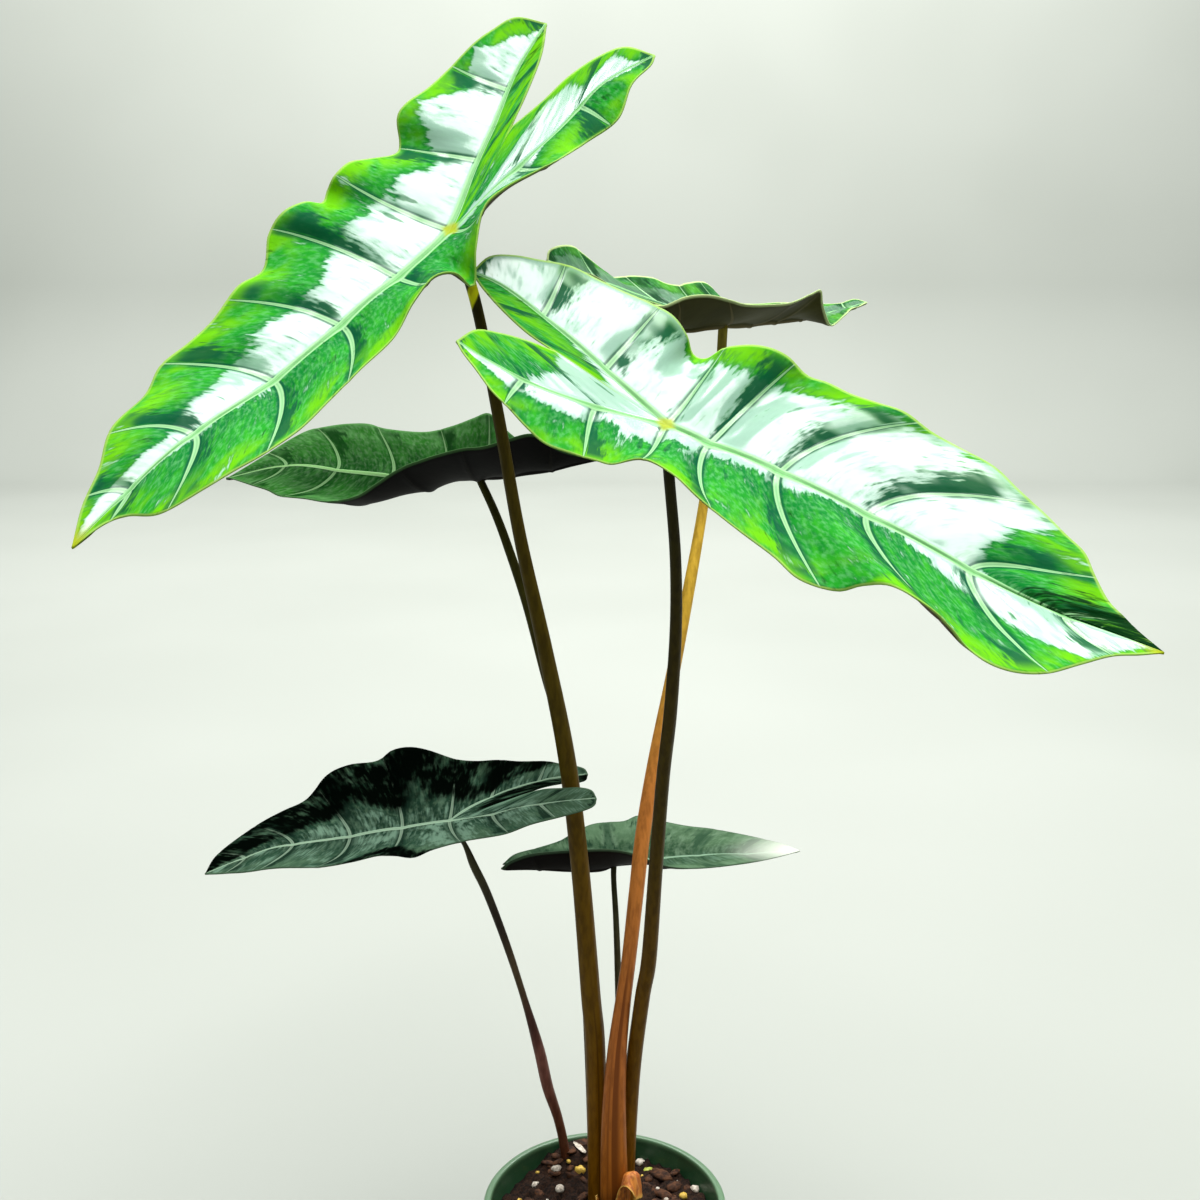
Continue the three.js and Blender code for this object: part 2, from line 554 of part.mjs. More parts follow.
// A petiole: rings round a curve through its points, closed at both ends
function petioleGeometry(points, extra) {
  const path = smooth(points.map(([x, y, z]) => [x, y, z]));
  const radii = smooth(points.map(([, , , radius]) => [radius, 0, 0]));
  const steps = Math.ceil(path.getLength() / PETIOLE.step);
  const corners = [];
  const faces = [];
  const sides = PETIOLE.sides;
  for (let i = 0; i <= steps; i++) {
    const t = path.getUtoTmapping(i / steps);
    const centre = path.getPoint(t);
    const forward = path.getTangent(t);
    const across = new THREE.Vector3(1, 0, 0);
    across.addScaledVector(forward, -across.dot(forward)).normalize();
    const other = forward.clone().cross(across);
    const radius = radii.getPoint(t).x + extra;
    for (let j = 0; j < sides; j++) {
      const turn = (2 * Math.PI * j) / sides;
      const spoke = across.clone().multiplyScalar(Math.cos(turn)).addScaledVector(other, Math.sin(turn));
      corners.push(...centre.clone().addScaledVector(spoke, radius));
    }
  }
  for (let i = 0; i < steps; i++) {
    for (let j = 0; j < sides; j++) {
      const [a, b] = [i * sides + j, i * sides + ((j + 1) % sides)];
      faces.push(a, b, b + sides, a, b + sides, a + sides);
    }
  }
  const start = corners.length / 3;
  corners.push(...path.getPoint(0), ...path.getPoint(1));
  for (let j = 0; j < sides; j++) {
    const next = (j + 1) % sides;
    faces.push(start, next, j, start + 1, steps * sides + j, steps * sides + next);
  }
  const geometry = new THREE.BufferGeometry();
  geometry.setAttribute("position", new THREE.Float32BufferAttribute(corners, 3));
  geometry.setIndex(faces);
  geometry.computeVertexNormals();
  return geometry;
}

// The pot: a tapered shell with a rolled rim, a flat floor and drain holes near the floor's edge
function wallRadius(z) {
  const top = POT.rimRadius - POT.rimWidth - 1.2;
  return POT.baseRadius + ((top - POT.baseRadius) * z) / (POT.height - POT.rimHeight);
}

function potGeometry() {
  const { height, rimRadius, rimWidth, rimHeight, baseRadius, wall, floor } = POT;
  const ledge = height - rimHeight;
  const profile = [
    [0, 0], [baseRadius - 1.5, 0], [baseRadius, 1.5], [wallRadius(ledge), ledge],
    [rimRadius - 2.6, ledge + 0.6], [rimRadius - 1.4, height - 3.2], [rimRadius, height - 2],
    [rimRadius - 0.2, height - 0.7], [rimRadius - 1.1, height], [rimRadius - rimWidth + 0.7, height],
    [rimRadius - rimWidth, height - 0.8], [rimRadius - rimWidth - 0.3, height - 3],
    [wallRadius(ledge) - wall, ledge - 1], [baseRadius - wall + 0.2, floor + 1.2],
    [baseRadius - wall - 1.2, floor], [0, floor],
  ];
  const shell = new THREE.LatheGeometry(
    profile.map(([r, z]) => new THREE.Vector2(r, z)),
    POT.sides,
  );
  shell.rotateX(Math.PI / 2);
  let solid = toSolid(shell);
  const drain = new THREE.Shape();
  drain.absarc(0, 0, POT.drainRadius, 0, 2 * Math.PI, false);
  const bit = new THREE.ExtrudeGeometry(drain, { depth: 3 * floor, bevelEnabled: false, curveSegments: 6 });
  for (let i = 0; i < POT.drains; i++) {
    const turn = (2 * Math.PI * (i + 0.5)) / POT.drains;
    const hole = bit.clone();
    hole.translate(POT.drainRing * Math.cos(turn), POT.drainRing * Math.sin(turn), -floor);
    solid = solid.subtract(toSolid(hole));
  }
  return toGeometry(solid);
}

// The soil: a tapered plug with a lumpy top, a heap behind the stems, and bits pressed into it
function soilHeight(x, y) {
  const behind = Math.hypot(x - SOIL.heapX, y - SOIL.heapY) / SOIL.heapSpread;
  const stems = Math.hypot(x - 3, y - 4) / SOIL.stemSpread;
  const lumps = Math.sin(x * 0.45 + 1) * Math.cos(y * 0.5) + 0.6 * Math.sin(x * 0.9 - y * 0.7);
  return (
    SOIL.level +
    SOIL.heap * Math.exp(-(behind ** 2)) +
    SOIL.stemHeap * Math.exp(-(stems ** 2)) +
    SOIL.lump * lumps
  );
}

function soilGeometry(holes) {
  const sides = SOIL.sides;
  const bottom = POT.floor + 1.2 + GAP;
  const insideWall = (z) => wallRadius(z) - POT.wall - GAP - 0.5;
  const corners = [[0, 0, soilHeight(0, 0)]];
  for (let i = 1; i <= SOIL.rings; i++) {
    for (let j = 0; j < sides; j++) {
      const turn = (2 * Math.PI * j) / sides;
      const reach = (insideWall(SOIL.level - 4) * i) / SOIL.rings;
      const [x, y] = [reach * Math.cos(turn), reach * Math.sin(turn)];
      corners.push([x, y, Math.min(soilHeight(x, y), POT.height - 1.5)]);
    }
  }
  const lowest = corners.length;
  for (let j = 0; j < sides; j++) {
    const turn = (2 * Math.PI * j) / sides;
    const reach = insideWall(bottom) - 1;
    corners.push([reach * Math.cos(turn), reach * Math.sin(turn), bottom]);
  }
  corners.push([0, 0, bottom]);
  const faces = [];
  const at = (ring, j) => 1 + (ring - 1) * sides + (j % sides);
  for (let j = 0; j < sides; j++) {
    faces.push(0, at(1, j), at(1, j + 1));
    for (let i = 1; i <= SOIL.rings; i++) {
      faces.push(at(i, j), at(i + 1, j), at(i + 1, j + 1), at(i, j), at(i + 1, j + 1), at(i, j + 1));
    }
    faces.push(lowest + sides, at(SOIL.rings + 1, j + 1), at(SOIL.rings + 1, j));
  }
  const plug = new THREE.BufferGeometry();
  plug.setAttribute("position", new THREE.Float32BufferAttribute(corners.flat(), 3));
  plug.setIndex(faces);
  let solid = toSolid(plug);
  const random = seededRandom(SOIL.seed);
  for (let i = 0; i < SOIL.bits; i++) {
    const turn = 2 * Math.PI * random();
    const reach = 44 * Math.sqrt(random());
    const [x, y] = [reach * Math.cos(turn), reach * Math.sin(turn)];
    const size = 1.5 + 1.6 * random();
    const bit = new THREE.IcosahedronGeometry(size, 0);
    bit.scale(1 + 0.5 * random(), 1, 0.8);
    bit.rotateZ(3 * random());
    bit.translate(x, y, soilHeight(x, y) + 0.1 * size);
    solid = solid.add(toSolid(bit));
  }
  for (const hole of holes) solid = solid.subtract(toSolid(hole));
  return toGeometry(mainBody(solid));
}

// The dry sheath: a strip that stands in the soil round the front of one stem. Towards its right end it
// rises, curls outwards and hangs down.
function sheathSheet() {
  const { middle, foot, reach, lip, peak, flare, curlRadius, hang, from, turn, columns } = SHEATH;
  const { rises, straight } = SHEATH;
  const sheet = new Sheet();
  const grid = rises.map((rise) => {
    const line = [];
    for (let j = 0; j <= columns; j++) {
      const share = j / columns;
      const curl = THREE.MathUtils.smoothstep(share, 0.66, 0.86);
      const over = Math.max(rise - straight, 0) / (1 - straight);
      const bend = 0.95 * Math.PI * curl * Math.min(2 * over, 1);
      const drop = hang * curl * Math.max(2 * over - 1, 0);
      const high = (peak - lip) * THREE.MathUtils.smoothstep(share, 0.5, 0.85);
      const top = lip + high + 1.2 * Math.sin(9 * share);
      const stand = Math.min(rise / (straight + (1 - straight) * (1 - curl)), 1);
      const out = reach + flare * rise ** 2 + curlRadius * (1 - Math.cos(bend)) + drop * Math.sin(bend);
      const above = curlRadius * Math.sin(bend) + drop * Math.cos(bend);
      const angle = THREE.MathUtils.degToRad(from + turn * share);
      const place = new THREE.Vector3(
        middle[0] + out * Math.cos(angle),
        middle[1] + out * Math.sin(angle),
        foot + (top - foot) * stand + above,
      );
      line.push(sheet.corner(place, BLADE.thickness));
    }
    return line;
  });
  sheet.patch(grid, true);
  return sheet;
}

// Assembly
const plant = new THREE.Group();

function place(name, geometry, look) {
  const { color, roughness } = COLOURS[look];
  const mesh = new THREE.Mesh(
    geometry,
    new THREE.MeshStandardMaterial({ color, roughness, metalness: 0 }),
  );
  mesh.name = name;
  plant.add(mesh);
}

const holes = [];
for (const [name, leaf] of Object.entries(LEAVES)) {
  const sheet = bladeSheet(leaf);
  place(name + "_blade", sheet.body(0, 0), leaf.look);
  const room = toSolid(sheet.body(2, GAP));
  const petiole = mainBody(toSolid(petioleGeometry(leaf.petiole, 0)).subtract(room));
  place(name + "_petiole", toGeometry(petiole), leaf.petioleLook);
  const [foot] = leaf.petiole;
  const deeper = [[foot[0], foot[1], foot[2] - GAP, foot[3]], ...leaf.petiole.slice(1, 5)];
  holes.push(petioleGeometry(deeper, GAP));
}
const sheath = sheathSheet();
place("dry_sheath", sheath.body(0, 0), "drySheath");
holes.push(sheath.body(GAP, GAP));
place("soil", soilGeometry(holes), "soil");
place("pot", potGeometry(), "pot");

export default plant;
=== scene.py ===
"""A potted alocasia chantrieri for rendering, in metres, in the frame of its CAD part.

Lengths in the tables are millimetres. The origin is the middle of the pot's base.
"""

import math

import bpy
import numpy as np
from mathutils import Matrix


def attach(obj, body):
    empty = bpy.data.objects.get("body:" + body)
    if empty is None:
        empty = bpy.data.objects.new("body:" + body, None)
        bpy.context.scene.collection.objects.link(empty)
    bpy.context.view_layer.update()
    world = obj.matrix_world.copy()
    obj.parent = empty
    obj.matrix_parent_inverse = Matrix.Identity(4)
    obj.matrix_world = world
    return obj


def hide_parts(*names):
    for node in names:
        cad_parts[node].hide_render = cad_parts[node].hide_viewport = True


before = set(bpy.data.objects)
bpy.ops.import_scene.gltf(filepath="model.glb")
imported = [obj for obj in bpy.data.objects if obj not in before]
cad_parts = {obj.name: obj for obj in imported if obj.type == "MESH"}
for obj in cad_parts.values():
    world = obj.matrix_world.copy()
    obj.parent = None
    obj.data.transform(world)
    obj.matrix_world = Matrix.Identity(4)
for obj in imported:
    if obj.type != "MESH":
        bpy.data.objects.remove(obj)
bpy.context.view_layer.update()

MM = 0.001
SEED = 11
CURVE_STEPS = 400
JOINS_PER_MM = 500

# What all blades share: thickness and relief in millimetres, and powers and shares that shape the rows
THICKNESS, RIM_THICKNESS = 0.9, 0.4
RIB_SHARE = 0.012
RIPPLE, RIB_HEIGHT, RIB_GROOVE, VEIN_HEIGHT, VEIN_DIP, UNDER_VEIN = 0.12, 0.38, 0.16, 0.16, 0.3, 0.3
BEND_POWER = 1.6
SWEEP_POWER, LOBE_SWEEP_POWER = 1.6, 1.35
BACK_SHARE = 0.75
LOBE_CELLS = 3
COLUMN_POWER = 1.25
SHINE_SOFTNESS = 0.14
PLAIN_SHINE = [0.7, 0.7]

POT = {
    "height": 92, "rim_radius": 52.5, "rim_width": 3.2, "rim_height": 11, "base_radius": 36,
    "wall": 1.3, "floor": 2.2, "drains": 8, "drain_radius": 4, "drain_ring": 29, "sides": 128,
}
SOIL = {
    "level": 82.4, "edge_level": 79, "highest": 91, "heap": 9, "heap_at": (-11.5, 44), "heap_spread": 15,
    "stem_heap": 3, "stem_heap_at": (3, 4), "stem_spread": 13, "lump": 0.9, "crumb": 1.1, "grain": 0.5,
    "sides": 150, "rings": 56, "bits": 150, "bits_within": 45.5,
}
SHEATH = {
    "middle": (4, -4), "foot": 79, "reach": 7.2, "lip": 95, "peak": 108, "flare": 0.6,
    "curl_radius": 1.8, "hang": 9, "from": -198, "turn": 175, "straight": 0.55,
    "thickness": 0.75, "edge_thickness": 0.4, "rows": 80, "columns": 110,
}
PETIOLE = {"ring_step": 2.2, "sides": 24, "roughness": 0.42}

# Each leaf, as in the part. spine: a point every quarter of the midrib, from three quarters behind the
# joint to the tip. face: which way the upper side looks there. The outline points of each half are
# [along the midrib from the joint, across from it, above it]. edge: from behind the tip to the lobe's
# end. rib: the lobe's own rib, between the joint and the lobe's end. inner: from the notch to before
# the lobe's end. shoulder: the number of the edge point beside the joint. veins: where the side veins
# leave the midrib. sweep, sweep_power: how far and how late the veins bend towards the tip. quilt: how
# high the blade arches between two veins. belly, lobe_belly: how far it sags from the joint to the tip
# and to the lobe's end. shine: how far out the glossy coat and the painted glare reach, as shares of the
# half's width, from the joint to the tip; lobe_shine, inner_shine: the same to the lobe's end, outside
# and inside the lobe's rib. Below zero there is less of it all over. Where it is low, painted shade
# darkens the blade. petiole: [x, y, z, radius] from the soil to the joint.
LEAVES = {
    "leaf_upper_left": {
        "midrib": 176, "quilt": 3,
        "veins": [0.16, 0.32, 0.5, 0.71, 0.87],
        "spine": [
            (0, 28, 597), (-18, 6, 565), (-36, -17, 531), (-54, -40, 498), (-80, -67, 473),
            (-106, -94, 449), (-130, -121, 431), (-154, -150, 405),
        ],
        "face": [
            (-0.15, -0.78, 0.6), (-0.15, -0.75, 0.62), (-0.12, -0.72, 0.67), (-0.1, -0.67, 0.73),
            (-0.06, -0.62, 0.78), (-0.05, -0.6, 0.8), (-0.05, -0.6, 0.8), (-0.05, -0.6, 0.8),
        ],
        "right": {
            "sweep": 0.09, "sweep_power": 2.2, "shoulder": 15,
            "shine": [0.65, 0.6, 0.48, 0.5, 0.45, 0.42, 0.3, 0.6, 0.8],
            "lobe_shine": [0.6, 0.55, 0.45, 0.6, 0.85, 0.5, 0.85, 0.45, 0.1],
            "inner_shine": [-0.1, -0.2],
            "edge": [
                (164, 7, 2), (152, 12, 3), (139, 20, 4), (122, 25, 2), (109, 31, 4), (95, 31, 6),
                (82, 32, 7), (67, 34, 10), (54, 36, 7), (43, 43, 11), (36, 43, 15), (27, 42, 14),
                (20, 41, 10), (14, 43, 11), (8, 42, 15), (-5, 42, 14), (-15, 40, 9), (-24, 35, 4),
                (-31, 37, 1), (-38, 40, 6), (-44, 39, 7), (-54, 36, 5), (-66, 34, 3), (-78, 29, 5),
                (-86, 25, 5), (-94, 19, 5), (-97, 8, 2),
            ],
            "rib": [(-23, 4, 0), (-46, 6, 0), (-72, 9, 1)],
            "inner": [(-50, 0, 0), (-66, 1, 1), (-82, 3, 2)],
        },
        "left": {
            "sweep": 0.17, "sweep_power": 1.5, "shoulder": 16,
            "shine": [0, -0.1, 0, -0.1, 0, 0, 0.1, 0, 0.2],
            "lobe_shine": [0.1, 0.1, 0.6, 0.2, 0, 0, -0.2, 0.3, 0],
            "inner_shine": [0, 0.2, 0.8, 0.85, 0.75, 0.5, 0.8, 0.5, 0],
            "edge": [
                (166, 3, 1), (161, 8, 2), (157, 18, 4), (145, 25, 6), (134, 28, 6), (124, 31, 7),
                (108, 31, 7), (92, 30, 9), (76, 29, 10), (60, 29, 11), (48, 27, 15), (36, 26, 17),
                (28, 28, 14), (24, 31, 7), (17, 27, 16), (5, 22, 22), (-8, 23, 21), (-22, 27, 16),
                (-34, 30, 10), (-47, 32, 4), (-57, 40, 7), (-70, 40, 10), (-80, 43, 10), (-86, 42, 9),
            ],
            "rib": [(-20, 6, 1), (-46, 18, 3), (-70, 26, 5)],
            "inner": [(-50, 0, 0), (-62, 7, 2), (-74, 12, 3), (-84, 20, 5), (-89, 29, 7)],
        },
        "petiole": [
            (-3, 7, 60, 4.3), (-3, 6, 95, 4.3), (-4, 4, 160, 4.2), (-6, 1, 188, 4.1), (-10, -5, 245, 3.7),
            (-15, -12, 295, 3.4), (-23, -20, 342, 2.9), (-32, -26, 388, 2.4), (-39, -31, 433, 2.2),
            (-46, -36, 473, 2), (-53, -40, 496.5, 2.2),
        ],
    },
    "leaf_upper_right": {
        "midrib": 174, "quilt": 3,
        "veins": [0.1, 0.26, 0.44, 0.64, 0.82],
        "spine": [
            (-88, -52, 500), (-52, -61, 479), (-16, -70, 457), (20, -80, 434), (53, -106, 422),
            (87, -132, 407), (120, -157, 391), (150, -182, 382),
        ],
        "face": [
            (0.3, -0.62, 0.72), (0.25, -0.62, 0.74), (0.15, -0.58, 0.79), (0, -0.54, 0.83),
            (-0.07, -0.53, 0.84), (-0.07, -0.53, 0.84), (-0.07, -0.53, 0.84), (-0.07, -0.53, 0.84),
        ],
        "right": {
            "sweep": 0.17, "sweep_power": 1.4, "shoulder": 18,
            "shine": [0.33, 0.18, 0.12, 0.08, 0.06, 0.36, 1.0, 0.9, 0.5],
            "lobe_shine": [0.5, 0.4, 0.25, 0.3, 0.4, 0.3, 0.4, 0.5, 0.3],
            "inner_shine": [0.9, 0.8, 0.5, 0.3, 0, -0.1, 0.2],
            "edge": [
                (169, 5, 1), (164, 12, 4), (159, 21, 6), (154, 30, 8), (147, 35, 9), (139, 36, 9),
                (131, 35, 10), (125, 34, 13), (117, 33, 15), (105, 33, 15), (97, 35, 11), (91, 38, 7),
                (80, 40, 6), (69, 37, 6), (56, 36, 8), (43, 35, 11), (32, 33, 14), (19, 33, 15),
                (5, 36, 10), (-5, 37, 8), (-15, 41, 8), (-25, 43, 6), (-33, 43, 7), (-41, 42, 9),
                (-48, 40, 9), (-57, 35, 8), (-64, 31, 7), (-69, 27, 6),
            ],
            "rib": [(-18, 10, 1), (-38, 20, 2), (-56, 25, 4)],
            "inner": [(-45, 0, 0), (-54, 4, 1), (-62, 9, 2), (-68, 16, 4)],
        },
        "left": {
            "sweep": 0.2, "sweep_power": 2.2, "shoulder": 20,
            "shine": [0.7, 0.75, 0.9, 1.05, 1.0, 0.35, -0.5, -0.9, -0.9],
            "lobe_shine": [0.8, 0.85, 1.0, 1.2, 1.2, 1.0, 1.2, 1.2, 0.6],
            "inner_shine": [0.5, 0.2, 0, -0.2, -0.1],
            "edge": [
                (165, 3, 1), (158, 6, 2), (151, 10, 2), (143, 16, 4), (136, 22, 5), (127, 26, 5),
                (118, 29, 6), (107, 32, 7), (97, 35, 8), (85, 37, 7), (75, 37, 8), (65, 38, 10),
                (56, 38, 9), (46, 38, 8), (37, 38, 9), (30, 37, 10), (23, 37, 15), (16, 36, 17),
                (7, 36, 15), (-2, 37, 9), (-7, 38, 0), (-11, 38, -1), (-15, 37, 6), (-22, 37, 10),
                (-31, 37, 9), (-40, 38, 6), (-50, 36, 6), (-60, 33, 7), (-70, 28, 6), (-78, 24, 5),
                (-84, 18, 4), (-85, 9, 2),
            ],
            "rib": [(-24, 5, 0), (-50, 10, 0), (-72, 12, 1)],
            "inner": [(-45, 0, 0), (-56, 0, 0), (-68, 2, 1), (-78, 5, 2)],
        },
        "petiole": [
            (8.8, 8, 60, 4.1), (8.8, 7, 95, 4.1), (11.7, 2, 149, 3.3), (15.5, -4, 188, 3.1),
            (18, -10, 209, 3.1), (20, -20, 252, 2.8), (22, -32, 294, 2.6), (24, -45, 325, 2.5),
            (25, -57, 359, 2.2), (24, -68, 388, 2), (21, -78, 418, 1.9), (20, -80, 432.6, 2.3),
        ],
    },
    "leaf_back_right": {
        "midrib": 145, "quilt": 1.8,
        "veins": [0.14, 0.3, 0.47, 0.65, 0.83],
        "spine": [
            (-44, -2, 487), (-13, 15, 480), (18, 32, 473), (49, 50, 465), (70, 80, 465), (91, 110, 466),
            (111, 140, 468), (130, 170, 472),
        ],
        "face": [(0, -0.1, 1), (0, -0.1, 1)],
        "right": {
            "sweep": 0.12, "shoulder": 14,
            "belly": [1, 0, 0, 0],
            "lobe_belly": [1, 1, 0],
            "edge": [
                (130, 3, 0.6), (113, 5, 1), (96, 9, -0.5), (78, 13, -2.7), (68, 15, -2), (56, 17, 7),
                (51, 18, 13.6), (41, 19, 12.6), (30, 20, 11), (19, 21, 10), (10, 22, 9.4), (1, 23, 9),
                (-10, 24, 8), (-17, 25, 8.5), (-26, 26, 8), (-37, 26, 4.4), (-46, 26, -0.8),
                (-56, 25, -0.6), (-64, 22, 1.5), (-73, 16, 4.9), (-80, 8, 5),
            ],
            "rib": [(-12, 5, -3), (-22, 8, -6), (-34, 10, -6), (-52, 11, -2)],
            "inner": [(-30, 0, 0), (-44, 3, -1), (-62, 4, 2)],
        },
        "left": {
            "sweep": 0.12, "shoulder": 11,
            "edge": [
                (140, 5, 1.9), (128, 8, 1.2), (112, 12, 2.5), (98, 15, 3.4), (84, 18, 4.8), (60, 21, 5),
                (38, 24, 7), (32, 25, 12.8), (24, 26, 15.6), (5, 26, 14.4), (-6, 27, 12), (-17, 27, 10.3),
                (-24, 28, 10.7), (-32, 29, 9.3), (-40, 29, 7.1), (-48, 28, 10), (-57, 26, 13.3),
                (-64, 22, 15), (-72, 17, 14), (-79, 12, 11), (-81, 8, 6.8),
            ],
            "rib": [(-26, 10, 1), (-54, 13, 4)],
            "inner": [(-30, 0, 0), (-46, 3, 1), (-64, 4, 3)],
        },
        "petiole": [
            (4, -4, 60, 6), (4, -4, 95, 6), (3.8, -4, 132, 5.2), (5, -3.4, 162, 4.1), (7.5, -1.2, 185, 3.3),
            (10, 1, 204, 3), (13, 4, 232, 3.1), (16, 9, 258, 3.1), (21, 17, 286, 3), (28, 25, 319, 2.8),
            (35, 31, 356, 2.5), (41, 39, 389, 2.1), (47, 47, 430, 2), (49, 50, 463.5, 2),
        ],
    },
    "leaf_middle_left": {
        "midrib": 139, "quilt": 1.6,
        "veins": [0.16, 0.36, 0.57, 0.77],
        "spine": [
            (34, -15, 417), (6, 0, 412), (-22, 15, 407), (-50, 30, 404), (-78, 46, 401), (-108, 62, 401),
            (-139, 78, 402), (-172, 95, 394),
        ],
        "face": [(0, -0.15, 1), (0, -0.15, 1)],
        "right": {
            "sweep": 0.12, "shoulder": 10,
            "edge": [
                (125, 12, 5), (110, 22, 10.6), (101, 24, 12), (89, 25, 14), (79, 25, 15), (68, 25, 13.6),
                (48, 25, 13.4), (32, 25, 16.3), (19, 25, 19.3), (9, 24, 21), (2, 22, 16), (-8, 20, 9.5),
                (-22, 18, 5), (-38, 14, 3), (-50, 10, 2), (-60, 5, 2),
            ],
            "rib": [(-20, 9, 2), (-42, 9, 2)],
            "inner": [(-26, 0, 0), (-38, 2, 1), (-50, 3, 1.5)],
        },
        "left": {
            "sweep": 0.12, "shoulder": 13,
            "belly": [3, 7, 2.5, 0],
            "lobe_belly": [3, 1, 0],
            "edge": [
                (134, 4, 0.5), (118, 11, -4.6), (106, 16, -7.1), (96, 19, -8.8), (80, 22, -7.1),
                (65, 24, -6.2), (50, 25, -2.6), (39, 25, 3), (30, 25, 7.2), (21, 25, 10.3), (12, 25, 12.3),
                (2, 25, 14.3), (-10, 25, 16.3), (-21, 25, 16.8), (-35, 25, 19.1), (-47, 24, 19.5),
                (-52, 16, 11.7), (-57, 10, 7.4), (-63, 4, 4),
            ],
            "rib": [(-13, 5, 1), (-27, 8, 2.5), (-41, 9, 3.1), (-51, 7, 3.7)],
            "inner": [(-26, 0, 0), (-38, 2, 1), (-50, 2.5, 3)],
        },
        "petiole": [
            (-4, 15, 60, 3.2), (-4, 15, 95, 3.2), (-6, 14, 160, 3), (-9, 14, 220, 2.8), (-12, 15, 250, 2.6),
            (-14, 16.5, 272, 2.5), (-17.5, 17.5, 298, 2.4), (-24, 19, 321, 2.2), (-31.8, 21, 351, 2),
            (-39.6, 23, 375, 1.8), (-45, 26, 389, 1.7), (-51.5, 30, 402.5, 1.6),
        ],
    },
    "leaf_lower_left": {
        "midrib": 100, "quilt": 1.8,
        "veins": [0.2, 0.42, 0.66, 0.85],
        "spine": [
            (9.5, 4, 281.5), (-15, 4, 275.7), (-39.5, 4, 270), (-64, 4, 264), (-88.5, 4, 260.2),
            (-113, 3.5, 256), (-138, 3, 252), (-165.5, 2, 241.5),
        ],
        "face": [(0, 0, 1), (0, 0, 1)],
        "right": {
            "sweep": 0.14, "shoulder": 11,
            "shine": [0.45, 0.3, 0.35, 0.5, 0.45, 0.4, 0.35, 0.3, 0.3],
            "lobe_shine": [0.35, 0.15, 0.3, 0.6, 1.1, 1.2],
            "inner_shine": [0.3, 0, 0.2],
            "edge": [
                (95, 7, 3.9), (83, 17, 6.1), (72, 22, 8), (63, 25, 10.4), (54, 29, 18.3), (43, 31, 21),
                (31, 32, 20.3), (24, 33, 23.7), (17, 34, 23.7), (9, 34, 21.1), (-3, 33, 15.5),
                (-12, 33, 12.5), (-21, 32, 11), (-30, 30, 8.8), (-41, 28, 7), (-47, 27, 4.8),
                (-53, 26.4, 2.6), (-56.8, 25, 0.8), (-57.8, 22.5, -1),
            ],
            "rib": [(-8, 7, 1), (-18, 13, 1.5), (-27, 17, 1.4), (-40, 21, 1)],
            "inner": [(-33, 0, 4), (-40, 9, 2.6), (-46, 16, 0), (-52, 17.6, -1.8), (-56.4, 19.6, -2.4)],
        },
        "left": {
            "sweep": 0.14, "shoulder": 9,
            "shine": [1.2, 0.5, 1.2, 1.2, 1.2, 1.2],
            "lobe_shine": [1.2, 1.2],
            "belly": [0.5, 3, 1, 0],
            "lobe_belly": [0.5, 0, 0],
            "edge": [
                (92, 6, -1), (80, 12, -2.9), (55, 20, -3.1), (39, 25, -1.5), (27, 27, 0.1), (19, 30, 0),
                (11, 33, -0.7), (3, 32, 1), (-8, 31, 1.5), (-25, 33, 1), (-37, 33, 2.5), (-51, 31, 2.2),
                (-58.5, 30, 2.3), (-62, 28.6, 3), (-63, 26, 4.6),
            ],
            "rib": [(-10, 6, 1), (-20, 12, 2.5), (-35, 19, 5), (-49, 24, 5.6)],
            "inner": [
                (-33, 0, 4), (-39, 8, 7), (-44, 14, 8.8), (-50, 18.4, 9.2), (-57, 20.5, 8.6),
                (-61.6, 22.6, 7),
            ],
        },
        "petiole": [
            (-15.5, 36, 60, 2.4), (-17.8, 38, 88, 2.2), (-20.8, 35, 108, 2.1), (-25.6, 30.5, 128, 2.5),
            (-29.1, 26, 149, 2.4), (-35, 20.5, 176, 1.5), (-41.8, 15.6, 203, 1.6), (-49.4, 10.5, 229, 1.7),
            (-54.5, 7, 243, 1.7), (-58.4, 5.2, 254, 1), (-64, 4, 262.6, 1.2),
        ],
    },
    "leaf_lower_right": {
        "midrib": 86, "quilt": 1.2,
        "veins": [0.22, 0.46, 0.72],
        "spine": [
            (-62, 20, 237), (-41, 26, 235), (-19, 32, 233), (4, 38, 232), (25, 42, 232), (45, 46, 232),
            (66, 50, 231), (88, 54, 231),
        ],
        "face": [(0, 0, 1), (0, 0, 1)],
        "right": {
            "sweep": 0.12, "shoulder": 9,
            "belly": [1, 1, 0, 0],
            "lobe_belly": [1, 0.5, 0],
            "edge": [
                (76, 5, 0.2), (59, 10, -0.1), (43, 13, -0.3), (31, 14, 0.4), (21, 15, 2.7), (15, 15, 4.9),
                (10, 15, 7.6), (3, 15, 10.4), (-5, 15, 12.2), (-14, 14, 12.4), (-28, 12, 11.3), (-37, 9, 9),
                (-44, 5, 4.4), (-47, 2, 0),
            ],
            "rib": [(-7, 3, -1), (-19, 4, 0), (-33, 4, 1)],
            "inner": [(-18, 0, 0), (-28, 1, 0), (-38, 1.5, 0)],
        },
        "left": {
            "sweep": 0.12, "shoulder": 8,
            "shine": [-0.7, -0.4, 0.3, 0.7, 0.9],
            "lobe_shine": [-0.7, -0.7],
            "edge": [
                (80, 9, 0.5), (67, 18, 1.9), (53, 23, 3.4), (42, 26, 4), (32, 28, 5.9), (18, 29, 9.8),
                (10, 27, 8.4), (2, 26, 8.8), (-5, 24, 8.7), (-14, 19, 6.4), (-19, 16, 5), (-29, 13, 3.2),
                (-39, 9, 2), (-45, 4, -0.5),
            ],
            "rib": [(-16, 7, 1), (-32, 7, 1)],
            "inner": [(-18, 0, 0), (-28, 2, 0), (-38, 3, 0)],
        },
        "petiole": [
